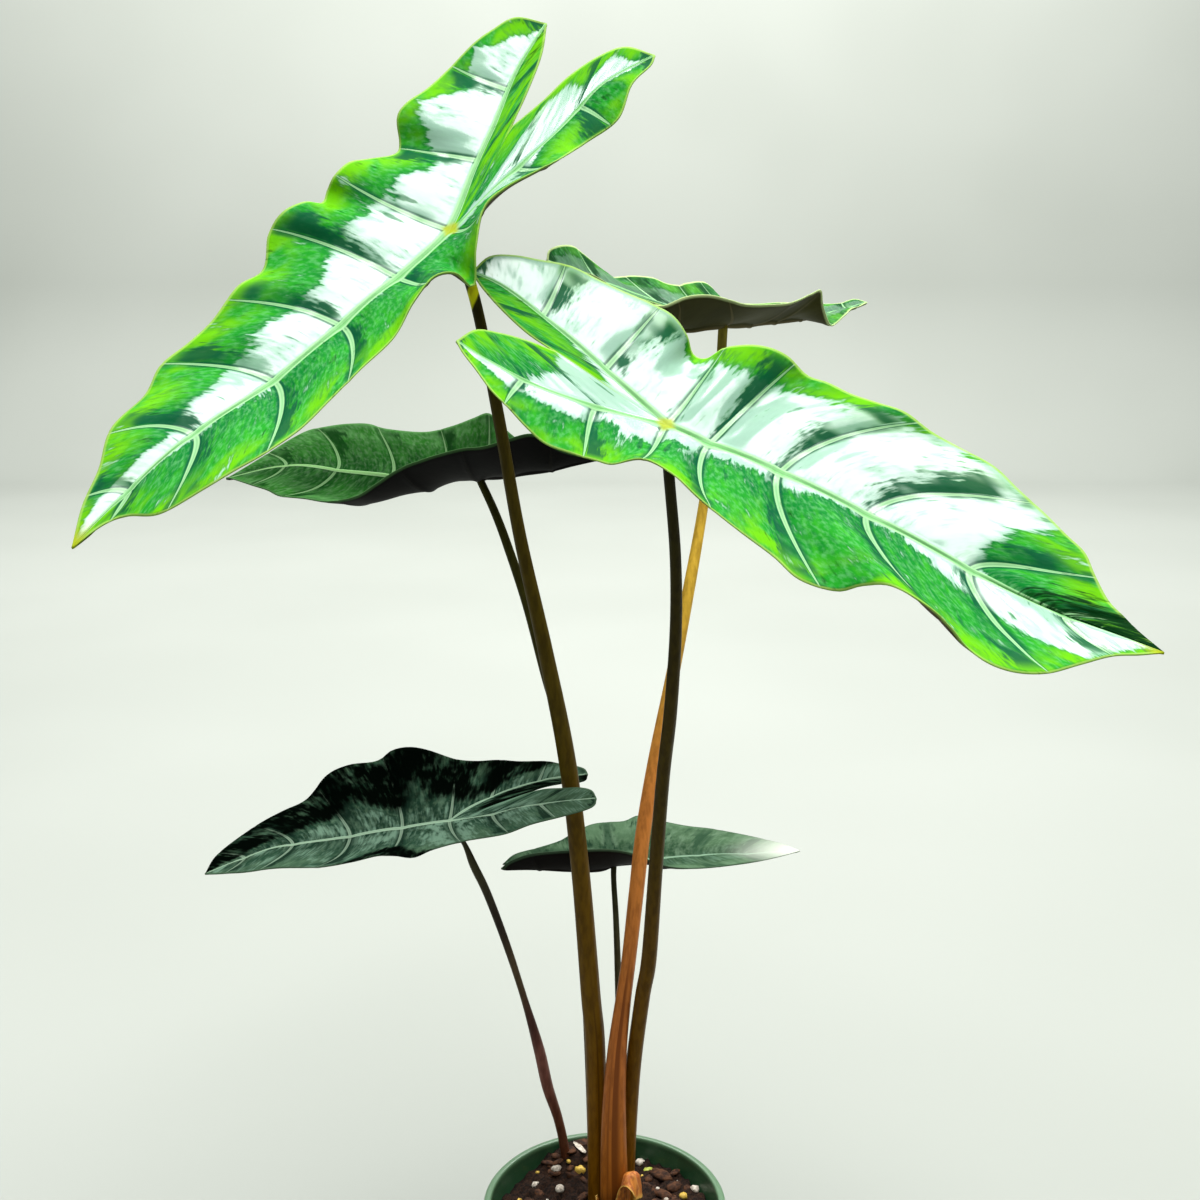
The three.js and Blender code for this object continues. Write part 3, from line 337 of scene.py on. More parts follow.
            (7, 18, 60, 2), (7, 18, 95, 2), (7, 20, 140, 1.8), (6, 24, 180, 1.5), (5, 30, 208, 1.3),
            (4, 36, 224, 1.2), (4, 38, 230.5, 1.3),
        ],
    },
}


# Curves

class Curve:
    """A Catmull-Rom curve through points, like the ones in the part."""

    def __init__(self, points):
        self.points = np.array(points, float)
        before = 2 * self.points[0] - self.points[1]
        after = 2 * self.points[-1] - self.points[-2]
        self.knots = np.vstack([before, self.points, after])
        self.t = np.linspace(0, 1, CURVE_STEPS + 1)
        lines = np.diff(self.at(self.t), axis=0)
        self.lengths = np.concatenate([[0], np.cumsum(np.linalg.norm(lines, axis=1))])

    def pieces(self, t):
        steps = (len(self.points) - 1) * np.clip(np.atleast_1d(t), 0, 1)
        index = np.minimum(steps.astype(int), len(self.points) - 2)
        w = (steps - index)[:, None]
        p0, p1, p2, p3 = (self.knots[index + i] for i in range(4))
        t0 = (p2 - p0) / 2
        t1 = (p3 - p1) / 2
        return w, p1, t0, -3 * p1 + 3 * p2 - 2 * t0 - t1, 2 * p1 - 2 * p2 + t0 + t1

    def at(self, t):
        w, a, b, c, d = self.pieces(t)
        return a + w * (b + w * (c + w * d))

    def heading(self, t):
        w, _, b, c, d = self.pieces(t)
        slope = b + w * (2 * c + w * 3 * d)
        return slope / np.linalg.norm(slope, axis=1, keepdims=True)

    def t_at(self, shares):
        """What t is at these shares of the curve's length."""
        return np.interp(np.asarray(shares) * self.lengths[-1], self.lengths, self.t)

    def at_share(self, shares):
        return self.at(self.t_at(shares))


def unit(vectors):
    return vectors / np.maximum(np.linalg.norm(vectors, axis=-1, keepdims=True), 1e-12)


def step(value, low, high):
    """0 below low, 1 above high, smooth between."""
    x = np.clip((value - low) / (high - low), 0, 1)
    return x * x * (3 - 2 * x)


def circle(sides):
    return 2 * math.pi * np.arange(sides) / sides


def around(radius, turn, z):
    """Places at these distances from an upright axis, turns round it and heights."""
    return np.stack(np.broadcast_arrays(radius * np.cos(turn), radius * np.sin(turn), z), axis=-1)


def ripples(u, v, wavelength, seed):
    """Smooth seeded noise between about -1 and 1, from waves in all directions."""
    waves = 9
    rng = np.random.default_rng(seed)
    total = np.zeros(np.shape(u))
    for _ in range(waves):
        turn = rng.uniform(0, math.pi)
        rate = 2 * math.pi / (wavelength * rng.uniform(0.7, 1.4))
        total += np.sin(rate * (u * math.cos(turn) + v * math.sin(turn)) + rng.uniform(0, 6.3))
    return total / math.sqrt(waves) / 1.4


# Meshes

def make_object(name, places, faces, attributes, materials, face_materials=None):
    """A mesh object from millimetre places; attributes hold a number for each place."""
    mesh = bpy.data.meshes.new(name)
    mesh.from_pydata((np.asarray(places) * MM).tolist(), [], faces)
    for key, values in attributes.items():
        layer = mesh.attributes.new(key, "FLOAT", "POINT")
        layer.data.foreach_set("value", np.asarray(values, np.float32))
    for material in materials:
        mesh.materials.append(material)
    if face_materials is not None:
        mesh.polygons.foreach_set("material_index", face_materials)
    mesh.polygons.foreach_set("use_smooth", [True] * len(faces))
    mesh.update()
    made = bpy.data.objects.new(name, mesh)
    bpy.context.scene.collection.objects.link(made)
    return made


def finish(piece, node):
    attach(piece, "root")
    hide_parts(node)


def tube_faces(rings, sides):
    """The quads between rings of corners, and the numbers of the first and of the last ring."""
    numbers = np.arange(rings * sides).reshape(rings, sides)
    ahead = np.roll(numbers, -1, axis=1)
    quads = np.stack([numbers[:-1], ahead[:-1], ahead[1:], numbers[1:]], axis=-1).reshape(-1, 4)
    return quads.tolist(), numbers[0].tolist(), numbers[-1].tolist()


def spun_faces(rings, sides, downwards=False):
    """Those quads with a fan at each end, round the two corners that are numbered after the rings."""
    faces, first, last = tube_faces(rings, sides)
    low = rings * sides
    faces += [[low, b, a] for a, b in zip(first, first[1:] + first[:1])]
    faces += [[low + 1, a, b] for a, b in zip(last, last[1:] + last[:1])]
    return [face[:1] + face[:0:-1] for face in faces] if downwards else faces


class Sheet:
    """Patches of a surface that are joined where their corners meet."""

    def __init__(self):
        self.places = []
        self.quads = []
        self.values = {}
        self.count = 0

    def patch(self, places, flip, **values):
        """places has rows and columns. Each value is a number for every corner."""
        rows, columns = places.shape[:2]
        numbers = self.count + np.arange(rows * columns).reshape(rows, columns)
        a, b = numbers[:-1, :-1].ravel(), numbers[:-1, 1:].ravel()
        c, d = numbers[1:, 1:].ravel(), numbers[1:, :-1].ravel()
        self.quads.append(np.stack([a, b, c, d] if flip else [a, d, c, b], axis=1))
        self.places.append(places.reshape(-1, 3))
        for key, value in values.items():
            self.values.setdefault(key, []).append(np.broadcast_to(value, (rows, columns)).ravel())
        self.count += rows * columns

    def join(self):
        places = np.concatenate(self.places)
        keys = np.round(places * JOINS_PER_MM).astype(np.int64)
        _, first, number = np.unique(keys, axis=0, return_index=True, return_inverse=True)
        quads = number.ravel()[np.concatenate(self.quads)]
        self.corners = places[first]
        self.data = {key: np.concatenate(value)[first] for key, value in self.values.items()}
        self.faces = []
        for quad in quads.tolist():
            face = list(dict.fromkeys(quad))
            if len(face) > 2:
                self.faces.append(face)

    def normals(self):
        sums = np.zeros_like(self.corners)
        whole = np.array([face if len(face) == 4 else face + face[-1:] for face in self.faces])
        across = self.corners[whole[:, 2]] - self.corners[whole[:, 0]]
        other = self.corners[whole[:, 3]] - self.corners[whole[:, 1]]
        areas = np.cross(across, other)
        for i in range(4):
            np.add.at(sums, whole[:, i], areas)
        return unit(sums)

    def rim(self):
        sides = {(a, b) for face in self.faces for a, b in zip(face, face[1:] + face[:1])}
        return sorted((a, b) for a, b in sides if (b, a) not in sides)

    def closed(self, top, bottom):
        """Places and faces of the body between the raised and the lowered copy of the sheet."""
        n = len(self.corners)
        normals = self.normals()
        places = np.concatenate([
            self.corners + normals * top[:, None],
            self.corners - normals * bottom[:, None],
        ])
        under = [[n + i for i in reversed(face)] for face in self.faces]
        wall = [[a, n + a, n + b, b] for a, b in self.rim()]
        return places, self.faces + under + wall


# Shaders

class Shader:
    """A material's nodes, wired by calls. An input is a socket or a constant."""

    def __init__(self, name, colour):
        self.colour = colour
        self.material = bpy.data.materials.new(name)
        self.material.use_nodes = True
        self.nodes = self.material.node_tree.nodes
        self.links = self.material.node_tree.links
        self.surface = self.nodes["Principled BSDF"]

    def plug(self, socket, value):
        if isinstance(value, bpy.types.NodeSocket):
            self.links.new(value, socket)
        elif isinstance(value, tuple) and len(value) == 3 and socket.type == "RGBA":
            socket.default_value = (*value, 1)
        else:
            socket.default_value = value

    def number(self, name):
        node = self.nodes.new("ShaderNodeAttribute")
        node.attribute_name = name
        return node.outputs["Fac"]

    def calc(self, operation, first, *others):
        """Takes each further value into the first by the operation."""
        for other in others:
            node = self.nodes.new("ShaderNodeMath")
            node.operation = operation
            self.plug(node.inputs[0], first)
            self.plug(node.inputs[1], other)
            first = node.outputs[0]
        return first

    def times(self, *values):
        return self.calc("MULTIPLY", *values)

    def plus(self, *values):
        return self.calc("ADD", *values)

    def swing(self, value, much):
        """A noise's difference from its middle, times much."""
        return self.times(self.calc("SUBTRACT", value, 0.5), much)

    def step(self, value, low, high, least=0.0, most=1.0):
        """least below low, most above high, smooth between."""
        node = self.nodes.new("ShaderNodeMapRange")
        node.interpolation_type = "SMOOTHSTEP"
        for name, given in (
            ("Value", value), ("From Min", low), ("From Max", high), ("To Min", least), ("To Max", most),
        ):
            self.plug(node.inputs[name], given)
        return node.outputs["Result"]

    def paint(self, colour, *shares, blend="MIX"):
        """Lays a colour over the one so far, by the product of the shares."""
        node = self.nodes.new("ShaderNodeMix")
        node.data_type, node.blend_type = "RGBA", blend
        self.plug(node.inputs[0], self.times(*shares))
        self.plug(node.inputs[6], self.colour)
        self.plug(node.inputs[7], colour)
        self.colour = node.outputs[2]

    def noise(self, scale, detail=3.0, stretch=(1, 1, 1)):
        """Noise in object space; scale counts per metre."""
        place = self.nodes.new("ShaderNodeTexCoord")
        mapping = self.nodes.new("ShaderNodeMapping")
        mapping.inputs["Scale"].default_value = stretch
        node = self.nodes.new("ShaderNodeTexNoise")
        node.inputs["Scale"].default_value = scale
        node.inputs["Detail"].default_value = detail
        node.inputs["Roughness"].default_value = 0.55
        self.links.new(place.outputs["Object"], mapping.inputs["Vector"])
        self.links.new(mapping.outputs["Vector"], node.inputs["Vector"])
        return node.outputs["Fac"]

    def height(self):
        place = self.nodes.new("ShaderNodeTexCoord")
        split = self.nodes.new("ShaderNodeSeparateXYZ")
        self.links.new(place.outputs["Object"], split.inputs["Vector"])
        return split.outputs["Z"]

    def leaf_noise(self, scale, detail=2.0, across=1.0):
        """Noise on the leaf itself; scale counts per millimetre, and across stretches it outwards."""
        join = self.nodes.new("ShaderNodeCombineXYZ")
        node = self.nodes.new("ShaderNodeTexNoise")
        self.plug(join.inputs[0], self.times(self.number("down_mm"), scale))
        self.plug(join.inputs[1], self.times(self.number("rib_mm"), scale / across))
        self.plug(join.inputs[2], self.times(self.number("side"), 7.0))
        node.inputs["Scale"].default_value = 1
        node.inputs["Detail"].default_value = detail
        self.links.new(join.outputs["Vector"], node.inputs["Vector"])
        return node.outputs["Fac"]

    def bump(self, height, depth):
        """height is a number; depth is how many metres one of it stands for."""
        node = self.nodes.new("ShaderNodeBump")
        node.inputs["Distance"].default_value = depth
        self.plug(node.inputs["Height"], height)
        self.links.new(node.outputs["Normal"], self.surface.inputs["Normal"])

    def finish(self, roughness, **constants):
        self.plug(self.surface.inputs["Base Color"], self.colour)
        self.plug(self.surface.inputs["Roughness"], roughness)
        for name, value in constants.items():
            socket = name.replace("_", " ").title().replace("Ior", "IOR")
            self.surface.inputs[socket].default_value = value
        return self.material


# Leaf blades

def on_spine(leaf, along, across, above):
    """Places in the plant's frame for leaf coordinates, as in the part."""
    shape = np.broadcast(along, across, above).shape
    along, across, above = (np.broadcast_to(v, shape).ravel() for v in (along, across, above))
    t = (along / leaf["midrib"] + BACK_SHARE) / (1 + BACK_SHARE)
    spine, face = Curve(leaf["spine"]), Curve(leaf["face"])
    forward = spine.heading(t)
    up = face.at(t)
    up = unit(up - forward * np.sum(up * forward, axis=1, keepdims=True))
    right = np.cross(forward, up)
    places = spine.at(t) + right * across[:, None] + up * above[:, None]
    return places.reshape(*shape, 3)


def crossing(places):
    """How far each corner is from the first row and column, and the sine between both directions."""
    down = np.linalg.norm(np.diff(places, axis=0, prepend=places[:1]), axis=2).cumsum(axis=0)
    out = np.linalg.norm(np.diff(places, axis=1, prepend=places[:, :1]), axis=2).cumsum(axis=1)
    rows = unit(np.gradient(places, axis=0))
    columns = unit(np.gradient(places, axis=1))
    return down, out, np.linalg.norm(np.cross(rows, columns), axis=2)


def strip(sheet, leaf, hand, start, end, q, row, vein_rows, flip, web=0):
    """Adds the rows between two outlines. row holds what each row has: an array or one number for all."""
    across_share = q[None, :]
    row = {key: np.broadcast_to(value, len(start)).astype(float)[:, None] for key, value in row.items()}
    along = start[:, :1] + (end[:, :1] - start[:, :1]) * across_share ** row["sweep_power"]
    across = start[:, 1:2] + (end[:, 1:2] - start[:, 1:2]) * across_share
    above = start[:, 2:] + (end[:, 2:] - start[:, 2:]) * across_share ** row["bend_power"]
    above = above + row["quilt"] * np.sin(math.pi * across_share ** 0.8)
    above = above - row["belly"] * np.sin(math.pi * across_share ** 0.9)
    places = on_spine(leaf, along, hand * across, above)
    down, out, sine = crossing(places)
    rim = (out[:, -1:] - out) * sine[:, -2:-1]
    vein = np.full(out.shape, 99.0)
    for i in vein_rows:
        vein = np.minimum(vein, np.abs(down - down[i]) * np.maximum(sine, 0.3))
    limit = row["shine"]
    shine = step(across_share, limit + SHINE_SOFTNESS, limit - SHINE_SOFTNESS) + np.minimum(limit, 0)
    vein_width = leaf["vein_width"] * np.maximum(1 - 0.8 * across_share ** 1.5, 0.2)
    rib_width = leaf["rib_width"] * (1 - 0.65 * row["r"])
    sheet.patch(
        places, flip, vein_mm=vein, vein=vein / vein_width, midrib=out / rib_width, rim_mm=rim,
        rib_mm=out, spread=across_share, length=row["r"] * row["sign"], side=hand,
        down_mm=row["r"] * row["reach"], web=web, shine=shine, cell=row["cell"],
        rib_depth=leaf["midrib"] * RIB_SHARE * (1 - 0.83 * row["r"]),
    )


def add_half(sheet, leaf, half, hand):
    tip, joint, lobe_end = (leaf["midrib"], 0, 0), (0, 0, 0), half["edge"][-1]
    points = [tip, *half["edge"]]
    edge, rib = Curve(points), Curve([joint, *half["rib"], lobe_end])
    inner = Curve([*half["inner"], lobe_end])
    shoulder = np.array(points[half["shoulder"]], float)
    mark = round(CURVE_STEPS * half["shoulder"] / (len(points) - 1))
    shoulder_share = edge.lengths[mark] / edge.lengths[-1]
    sags, lobe_sags = (
        Curve([(sag, 0, 0) for sag in half.get(key, [0, 0])]) for key in ("belly", "lobe_belly")
    )
    q = np.linspace(0, 1, leaf["columns"]) ** COLUMN_POWER

    def shine_at(key, r, plain=PLAIN_SHINE):
        values = half.get(key, plain)
        return np.interp(r, np.linspace(0, 1, len(values)), values)

    # From the joint to the tip
    stops = np.array([0, *leaf["veins"], 1])
    cell_rows = leaf["cell_rows"]
    count = cell_rows * (len(stops) - 1)
    steps = np.arange(count + 1) / cell_rows
    r = np.interp(steps, np.arange(len(stops)), stops)
    start = np.stack([leaf["midrib"] * r, 0 * r, 0 * r], axis=1)
    share = shoulder_share * (1 - r - half["sweep"] * np.sin(math.pi * r))
    end = edge.at_share(np.maximum(share, 0))
    end[0] = shoulder
    bent = np.minimum(r / stops[1], 1)
    row = {
        "r": r,
        "sign": 1,
        "reach": leaf["midrib"],
        "sweep_power": LOBE_SWEEP_POWER + (half.get("sweep_power", SWEEP_POWER) - LOBE_SWEEP_POWER) * bent,
        "bend_power": BEND_POWER,
        "quilt": leaf["quilt"] * (1 - r**3) * np.abs(np.sin(math.pi * steps)),
        "belly": sags.at(r)[:, 0],
        "shine": shine_at("shine", r),
        "cell": steps % 1,
    }
    strip(sheet, leaf, hand, start, end, q, row, range(0, count, cell_rows), hand > 0)

    # From the joint to the lobe's end, outside the lobe's rib and then inside it
    count = leaf["lobe_rows"] * LOBE_CELLS
    r = np.linspace(0, 1, count + 1)
    start = rib.at_share(r)
    end = edge.at_share(np.minimum(shoulder_share + (1 - shoulder_share) * r, 1))
    end[0] = shoulder
    row = {
        "r": r,
        "sign": -1,
        "reach": rib.lengths[-1],
        "sweep_power": LOBE_SWEEP_POWER,
        "bend_power": BEND_POWER,
        "quilt": leaf["quilt"] * (1 - r**2) * np.abs(np.sin(math.pi * LOBE_CELLS * r)),
        "belly": lobe_sags.at(r)[:, 0],
        "shine": shine_at("lobe_shine", r),
        "cell": LOBE_CELLS * r % 1,
    }
    strip(sheet, leaf, hand, start, end, q, row, range(0, count, leaf["lobe_rows"]), hand < 0)
    end = inner.at_share(r)
    end[0] = half["inner"][0]
    row |= {"sweep_power": 1, "bend_power": 1, "quilt": 0, "belly": 0}
    row["shine"] = shine_at("inner_shine", r, half.get("lobe_shine", PLAIN_SHINE))
    q = np.linspace(0, 1, leaf["columns"] // 2) ** COLUMN_POWER
    strip(sheet, leaf, hand, start, end, q, row, [], hand > 0, 1)


def blade(name, leaf, upper, under):
    sheet = Sheet()
    add_half(sheet, leaf, leaf["right"], 1)
    add_half(sheet, leaf, leaf["left"], -1)
    sheet.join()
    data = sheet.data
    midrib, vein, rim = data["midrib"], data["vein"], data["rim_mm"]
    relief = RIPPLE * ripples(data["down_mm"], 0.4 * data["rib_mm"], 7, SEED) * step(rim, 0, 3)
    relief *= step(midrib, 1, 4) * (1 - 0.8 * data["web"])
    rib = RIB_HEIGHT * (1 - step(midrib, 0.75, 1.25)) - RIB_GROOVE * (1 - step(midrib, 0, 0.6))
    relief += rib * (1 - 0.5 * np.abs(data["length"]))
    relief += VEIN_HEIGHT * (1 - step(vein, 0.7, 1.3)) - VEIN_DIP * np.exp(-((vein / 2.6) ** 2))
    depth = RIM_THICKNESS + (THICKNESS - RIM_THICKNESS) * step(rim, 0, 1.6)
    depth = depth + data["rib_depth"] * np.sqrt(np.maximum(1 - (midrib / 1.35) ** 2, 0))
    depth = depth + UNDER_VEIN * (1 - step(vein, 0.4, 1.6)) * step(rim, 0, 4)
    places, faces = sheet.closed(relief, depth)
    count = len(sheet.faces)
    kinds = [0] * count + [1] * count + [0] * (len(faces) - 2 * count)
    attributes = {key: np.tile(data[key], 2) for key in data if key not in ("web", "rib_depth")}
    made = make_object(name + "_fine_blade", places, faces, attributes, [upper, under], kinds)
    finish(made, name + "_blade")


def upper_material(name, look):
    """The glossy upper side: green body, painted glare and shade, pale ribs and veins with painted shade on
    their flanks, and a thin pale margin.
    """
    s = Shader(name, look["deep"])
    midrib, vein, vein_mm = s.number("midrib"), s.number("vein"), s.number("vein_mm")
    rim, spread = s.number("rim_mm"), s.number("spread")

    # Where the blade is glossy: as far out as "shine" says, with an uneven and feathered end.
    # The same mask lays the painted glare, and where it is low, the painted shade.
    strokes = s.leaf_noise(0.8, 3, 5)
    uneven = s.calc("SUBTRACT", s.leaf_noise(0.11, 4, 1.3), 0.5)
    feather = s.swing(strokes, 1.3)
    gloss = s.plus(s.number("shine"), s.times(uneven, 2.0), feather)
    glare_from, glare_full = look["glare_range"]

    # Before each vein the blade turns down, and there a dark crescent of painted shade widens outwards;
    # more painted shade lies in patches beside the veins and here and there.
    before = s.plus(s.number("cell"), s.times(uneven, 0.5), s.times(spread, 0.25), s.times(feather, 0.35))
    here = s.step(s.leaf_noise(0.05, 2), 0.38, 0.52, 0.35, 1)
    shade_crescent = s.times(s.step(before, 0.86, 1.0), s.step(spread, 1.02, 0.88), here)
    after = s.times(s.step(vein_mm, 2.6, 1), s.step(s.leaf_noise(0.1, 1), 0.35, 0.6, 0, 0.8))
    shade_patches = s.step(s.leaf_noise(0.28, 3, 4), 0.64, 0.72, 0, 0.7)
    shade_crescent = s.calc("MAXIMUM", shade_crescent, after, shade_patches)
    open_share = s.calc("SUBTRACT", 1, s.times(shade_crescent, 0.97))

    # The body's greens with a stipple of painted sheen, then the painted shade and the painted glare,
    # a pale tint where reflections fall
    reach = s.plus(spread, s.swing(s.leaf_noise(0.06, 3, 1.6), 1.4), s.times(feather, 0.3))
    s.paint(look["body"], s.step(reach, 0.2, 0.75))
    s.paint(look["fresh"], s.step(s.leaf_noise(0.35, 3, 3.5), 0.44, 0.7), 0.5)
    s.paint(look["bloom"], s.step(s.leaf_noise(0.7, 4, 2), 0.4, 0.75, 0, look["sheen_stipple_share"]))
    s.paint(look["lime"], s.step(rim, 14, 3), s.step(s.leaf_noise(0.07, 2), 0.38, 0.58), look["lime_share"])
    # A band of painted shade along the inner end of the painted glare joins the crescents' painted shade
    shade_band = s.times(s.step(gloss, glare_from - 0.3, glare_from + 0.05), 0.4)
    s.paint(look["flank_shade"], s.calc("MAXIMUM", shade_crescent, shade_band), 0.9)
    # The painted glare: a pale tint laid where the blade's reflections fall, outside the crescents
    s.paint(look["silver"], s.step(gloss, glare_from, glare_full), open_share, look["glare_share"])

    # Painted shade beside the veins, then veins, ribs, margin, the pale joint and tip, and the painted
    # shade where the gloss is low. On the pale-dark leaf the tip's spot is a painted highlight.
    s.paint(look["flank_shade"], s.step(vein, 2.6, 1.7), look["vein_share"] * 0.8)
    s.paint(look["vein"], s.step(vein, 1.3, 0.8), s.step(vein, 0.0, 0.7, 0.7, 1), look["vein_share"])
    s.paint(look["vein"], s.step(midrib, 1.15, 0.9))
    s.paint(look["core"], s.step(midrib, 0.8, 0.5), s.step(midrib, 0.0, 0.22, 0.95, 0.6))
    s.paint(look["margin"], s.step(rim, 1.0, 0.4), 0.8)
    joint = s.step(s.plus(s.number("down_mm"), s.number("rib_mm")), 5, 2)
    s.paint(look["spot"], joint, look["spot_share"])
    s.paint(look["spot"], s.step(s.number("length"), look["tip_from"], 0.99, 0, look["spot_share"]))
    s.paint(look["shade"], s.step(gloss, *look["shade_range"]))

    s.bump(strokes, look["scratch"])
    glossy = s.times(s.step(gloss, 0.35, 1.1), open_share)
    glossy = s.times(glossy, s.step(rim, 0.5, 3), s.step(midrib, 0.9, 1.6, 0.2, 1))
    s.plug(s.surface.inputs["Coat Weight"], s.times(glossy, look["coat"]))
    rough = s.calc("SUBTRACT", 0.6, s.times(glossy, 0.6 - look["gloss"]))
    return s.finish(rough, coat_roughness=0.16, coat_ior=1.6, ior=1.4, specular_ior_level=look["specular"])


def under_material(name, look):
    """The duller underside with its raised ribs."""
    s = Shader(name, look["under"])
    s.paint(look["under_light"], s.step(s.noise(30, 3), 0.35, 0.65))
    s.paint(look["under_rib"], s.step(s.number("midrib"), 1.5, 0.8), 0.7)
    s.paint(look["under_rib"], s.step(s.number("vein"), 1.5, 0.7), 0.5)
    s.paint(look["margin"], s.step(s.number("rim_mm"), 1.4, 0.4), 0.8)
    s.bump(s.noise(300, 3), 0.0001)
    return s.finish(0.6, ior=1.35, specular_ior_level=0.08)


# Colours are linear. silver is painted glare, flank_shade is painted shade and bloom is
# painted sheen. glare_range: the gloss where the painted glare begins and where it is whole; shade_range:
# the same for the blade's dark painted shade; tip_from: where on the midrib the tip's spot begins.
BRIGHT = {
    "deep": (0.001, 0.115, 0.014),
    "body": (0.008, 0.185, 0.010),
    "fresh": (0.030, 0.27, 0.008),
    "lime": (0.085, 0.32, 0.001),
    "lime_share": 0.95,
    "flank_shade": (0.001, 0.050, 0.022),
    "vein": (0.22, 0.42, 0.20),
    "vein_share": 0.9,
    "core": (0.07, 0.24, 0.06),
    "margin": (0.22, 0.36, 0.07),
    "spot": (0.24, 0.28, 0.003),
    "spot_share": 0.9,
    "tip_from": 0.93,
    "bloom": (0.16, 0.42, 0.20),
    "sheen_stipple_share": 0.3,
    "silver": (0.28, 0.43, 0.35),
    "glare_share": 0.75,
    "glare_range": (0.3, 0.62),
    "shade": (0.001, 0.022, 0.003),
    "shade_range": (-0.25, -0.75),
    "specular": 0.02,
    "gloss": 0.25,
    "scratch": 0.00005,
    "coat": 1.0,
    "under": (0.040, 0.022, 0.010),
    "under_light": (0.060, 0.036, 0.016),
    "under_rib": (0.10, 0.08, 0.03),
}
BACK = BRIGHT | {
    "deep": (0.006, 0.040, 0.012),
    "body": (0.010, 0.085, 0.014),
    "fresh": (0.035, 0.17, 0.03),
    "lime_share": 0.35,
    "flank_shade": (0.002, 0.030, 0.008),
    "margin": (0.36, 0.45, 0.20),
    "under": (0.024, 0.024, 0.004),
    "under_light": (0.036, 0.036, 0.007),
    "spot_share": 0.0,
    "glare_share": 0.15,
    "gloss": 0.35,
    "coat": 0.1,
}
MIDDLE = BACK | {
    "deep": (0.005, 0.036, 0.005),
    "body": (0.012, 0.075, 0.008),
    "fresh": (0.045, 0.14, 0.035),
    "lime": (0.10, 0.22, 0.09),
    "flank_shade": (0.002, 0.020, 0.003),
    "bloom": (0.14, 0.22, 0.13),
    "sheen_stipple_share": 0.25,
    "margin": (0.05, 0.12, 0.04),
    "vein": (0.15, 0.27, 0.12),
    "vein_share": 0.6,
    "core": (0.09, 0.19, 0.06),
    "under": (0.002, 0.002, 0.002),
    "under_light": (0.005, 0.004, 0.004),
    "under_rib": (0.010, 0.009, 0.007),
    "lime_share": 0.25,
    "glare_share": 0.0,
    "gloss": 0.6,
    "coat": 0.0,
    "specular": 0.0,
}
DARK = MIDDLE | {
    "deep": (0.008, 0.026, 0.015),
    "body": (0.018, 0.052, 0.030),
    "fresh": (0.085, 0.155, 0.10),
    "lime": (0.10, 0.18, 0.10),
    "lime_share": 0.4,
    "flank_shade": (0.004, 0.013, 0.008),
    "vein": (0.23, 0.33, 0.23),
    "core": (0.15, 0.24, 0.16),
    "margin": (0.05, 0.09, 0.05),
    "shade": (0.0006, 0.0014, 0.0008),
    "shade_range": (0.75, -0.05),
    "silver": (0.16, 0.27, 0.19),
    "glare_share": 0.6,
    "glare_range": (0.85, 1.4),
    "gloss": 0.5,
}
PALE_DARK = DARK | {
    "deep": (0.018, 0.045, 0.022),
    "body": (0.045, 0.090, 0.046),
    "fresh": (0.12, 0.19, 0.12),
    "flank_shade": (0.020, 0.050, 0.026),
    "vein": (0.16, 0.26, 0.17),
    "vein_share": 0.08,
    "glare_share": 0.25,
    "shade": (0.008, 0.026, 0.013),
    # From tip_from to the tip this pale spot is a painted highlight
    "spot": (0.50, 0.54, 0.46),
    "spot_share": 0.95,
    "tip_from": 0.55,
    "shade_range": (-0.5, -1),
    "under": (0.006, 0.004, 0.003),
}

# look, slot, rows in a cell of the front and of the lobe, columns, half widths of midrib and veins
BLADE_LOOKS = {
    "leaf_upper_left": (BRIGHT, "bright_blade", 24, 24, 40, 2.1, 0.85),
    "leaf_upper_right": (BRIGHT, "bright_blade", 24, 24, 40, 2.1, 0.85),
    "leaf_back_right": (BACK, "bright_blade", 18, 20, 32, 1.5, 0.7),
    "leaf_middle_left": (MIDDLE, "dark_blade", 18, 20, 32, 1.4, 0.7),
    "leaf_lower_left": (DARK, "dark_blade", 16, 16, 30, 1.2, 0.6),
    "leaf_lower_right": (PALE_DARK, "dark_blade", 14, 14, 24, 1.0, 0.5),
}


# Petioles

FOLDS = {
    "leaf_back_right": [(273, 11, 0.2, 0.45), (244, 7, 0.07, 0.4), (305, 8, 0.08, 0.35)],
    "leaf_upper_left": [(290, 8, 0.08, 0.4)],
    "leaf_upper_right": [(250, 8, 0.08, 0.4)],
}


def petiole(name, points, material, folds):
    """folds: [turn in degrees, width, depth as a share of the radius, share of the length it fades at]."""
    path = Curve([point[:3] for point in points])
    widths = Curve([(point[3], 0, 0) for point in points])
    rings, sides = int(path.lengths[-1] / PETIOLE["ring_step"]), PETIOLE["sides"]
    shares = np.linspace(0, 1, rings)
    t = path.t_at(shares)
    forward = path.heading(t)
    across = unit(np.array([1.0, 0, 0]) - forward * forward[:, :1])
    other = np.cross(forward, across)
    turn = circle(sides)
    mark = np.arange(rings)[:, None]
    radius = widths.at(t)[:, :1]
    grooves = 0.025 * np.sin(7 * turn + 0.02 * mark) + 0.012 * np.sin(11 * turn + 1)
    for at, width, deep, end in folds:
        off = (np.degrees(turn) - at + 180) % 360 - 180
        fade = step(shares, end, 0.5 * end)[:, None]
        grooves = grooves - deep * np.exp(-((off / width) ** 2)) * fade
    radius = radius * (1 + grooves)
    spokes = across[:, None] * np.cos(turn)[None, :, None] + other[:, None] * np.sin(turn)[None, :, None]
    places = path.at(t)[:, None] + spokes * radius[..., None]
    quads, first, last = tube_faces(rings, sides)
    crease = np.broadcast_to(np.minimum(grooves, 0), (rings, sides)).ravel()
    rise = shares[:, None] - 0.006 * np.cos(turn)
    attributes = {"rise": rise.ravel(), "crease": crease}
    faces = quads + [first[::-1], last]
    made = make_object(name + "_fine_petiole", places.reshape(-1, 3), faces, attributes, [material])
    finish(made, name + "_petiole")


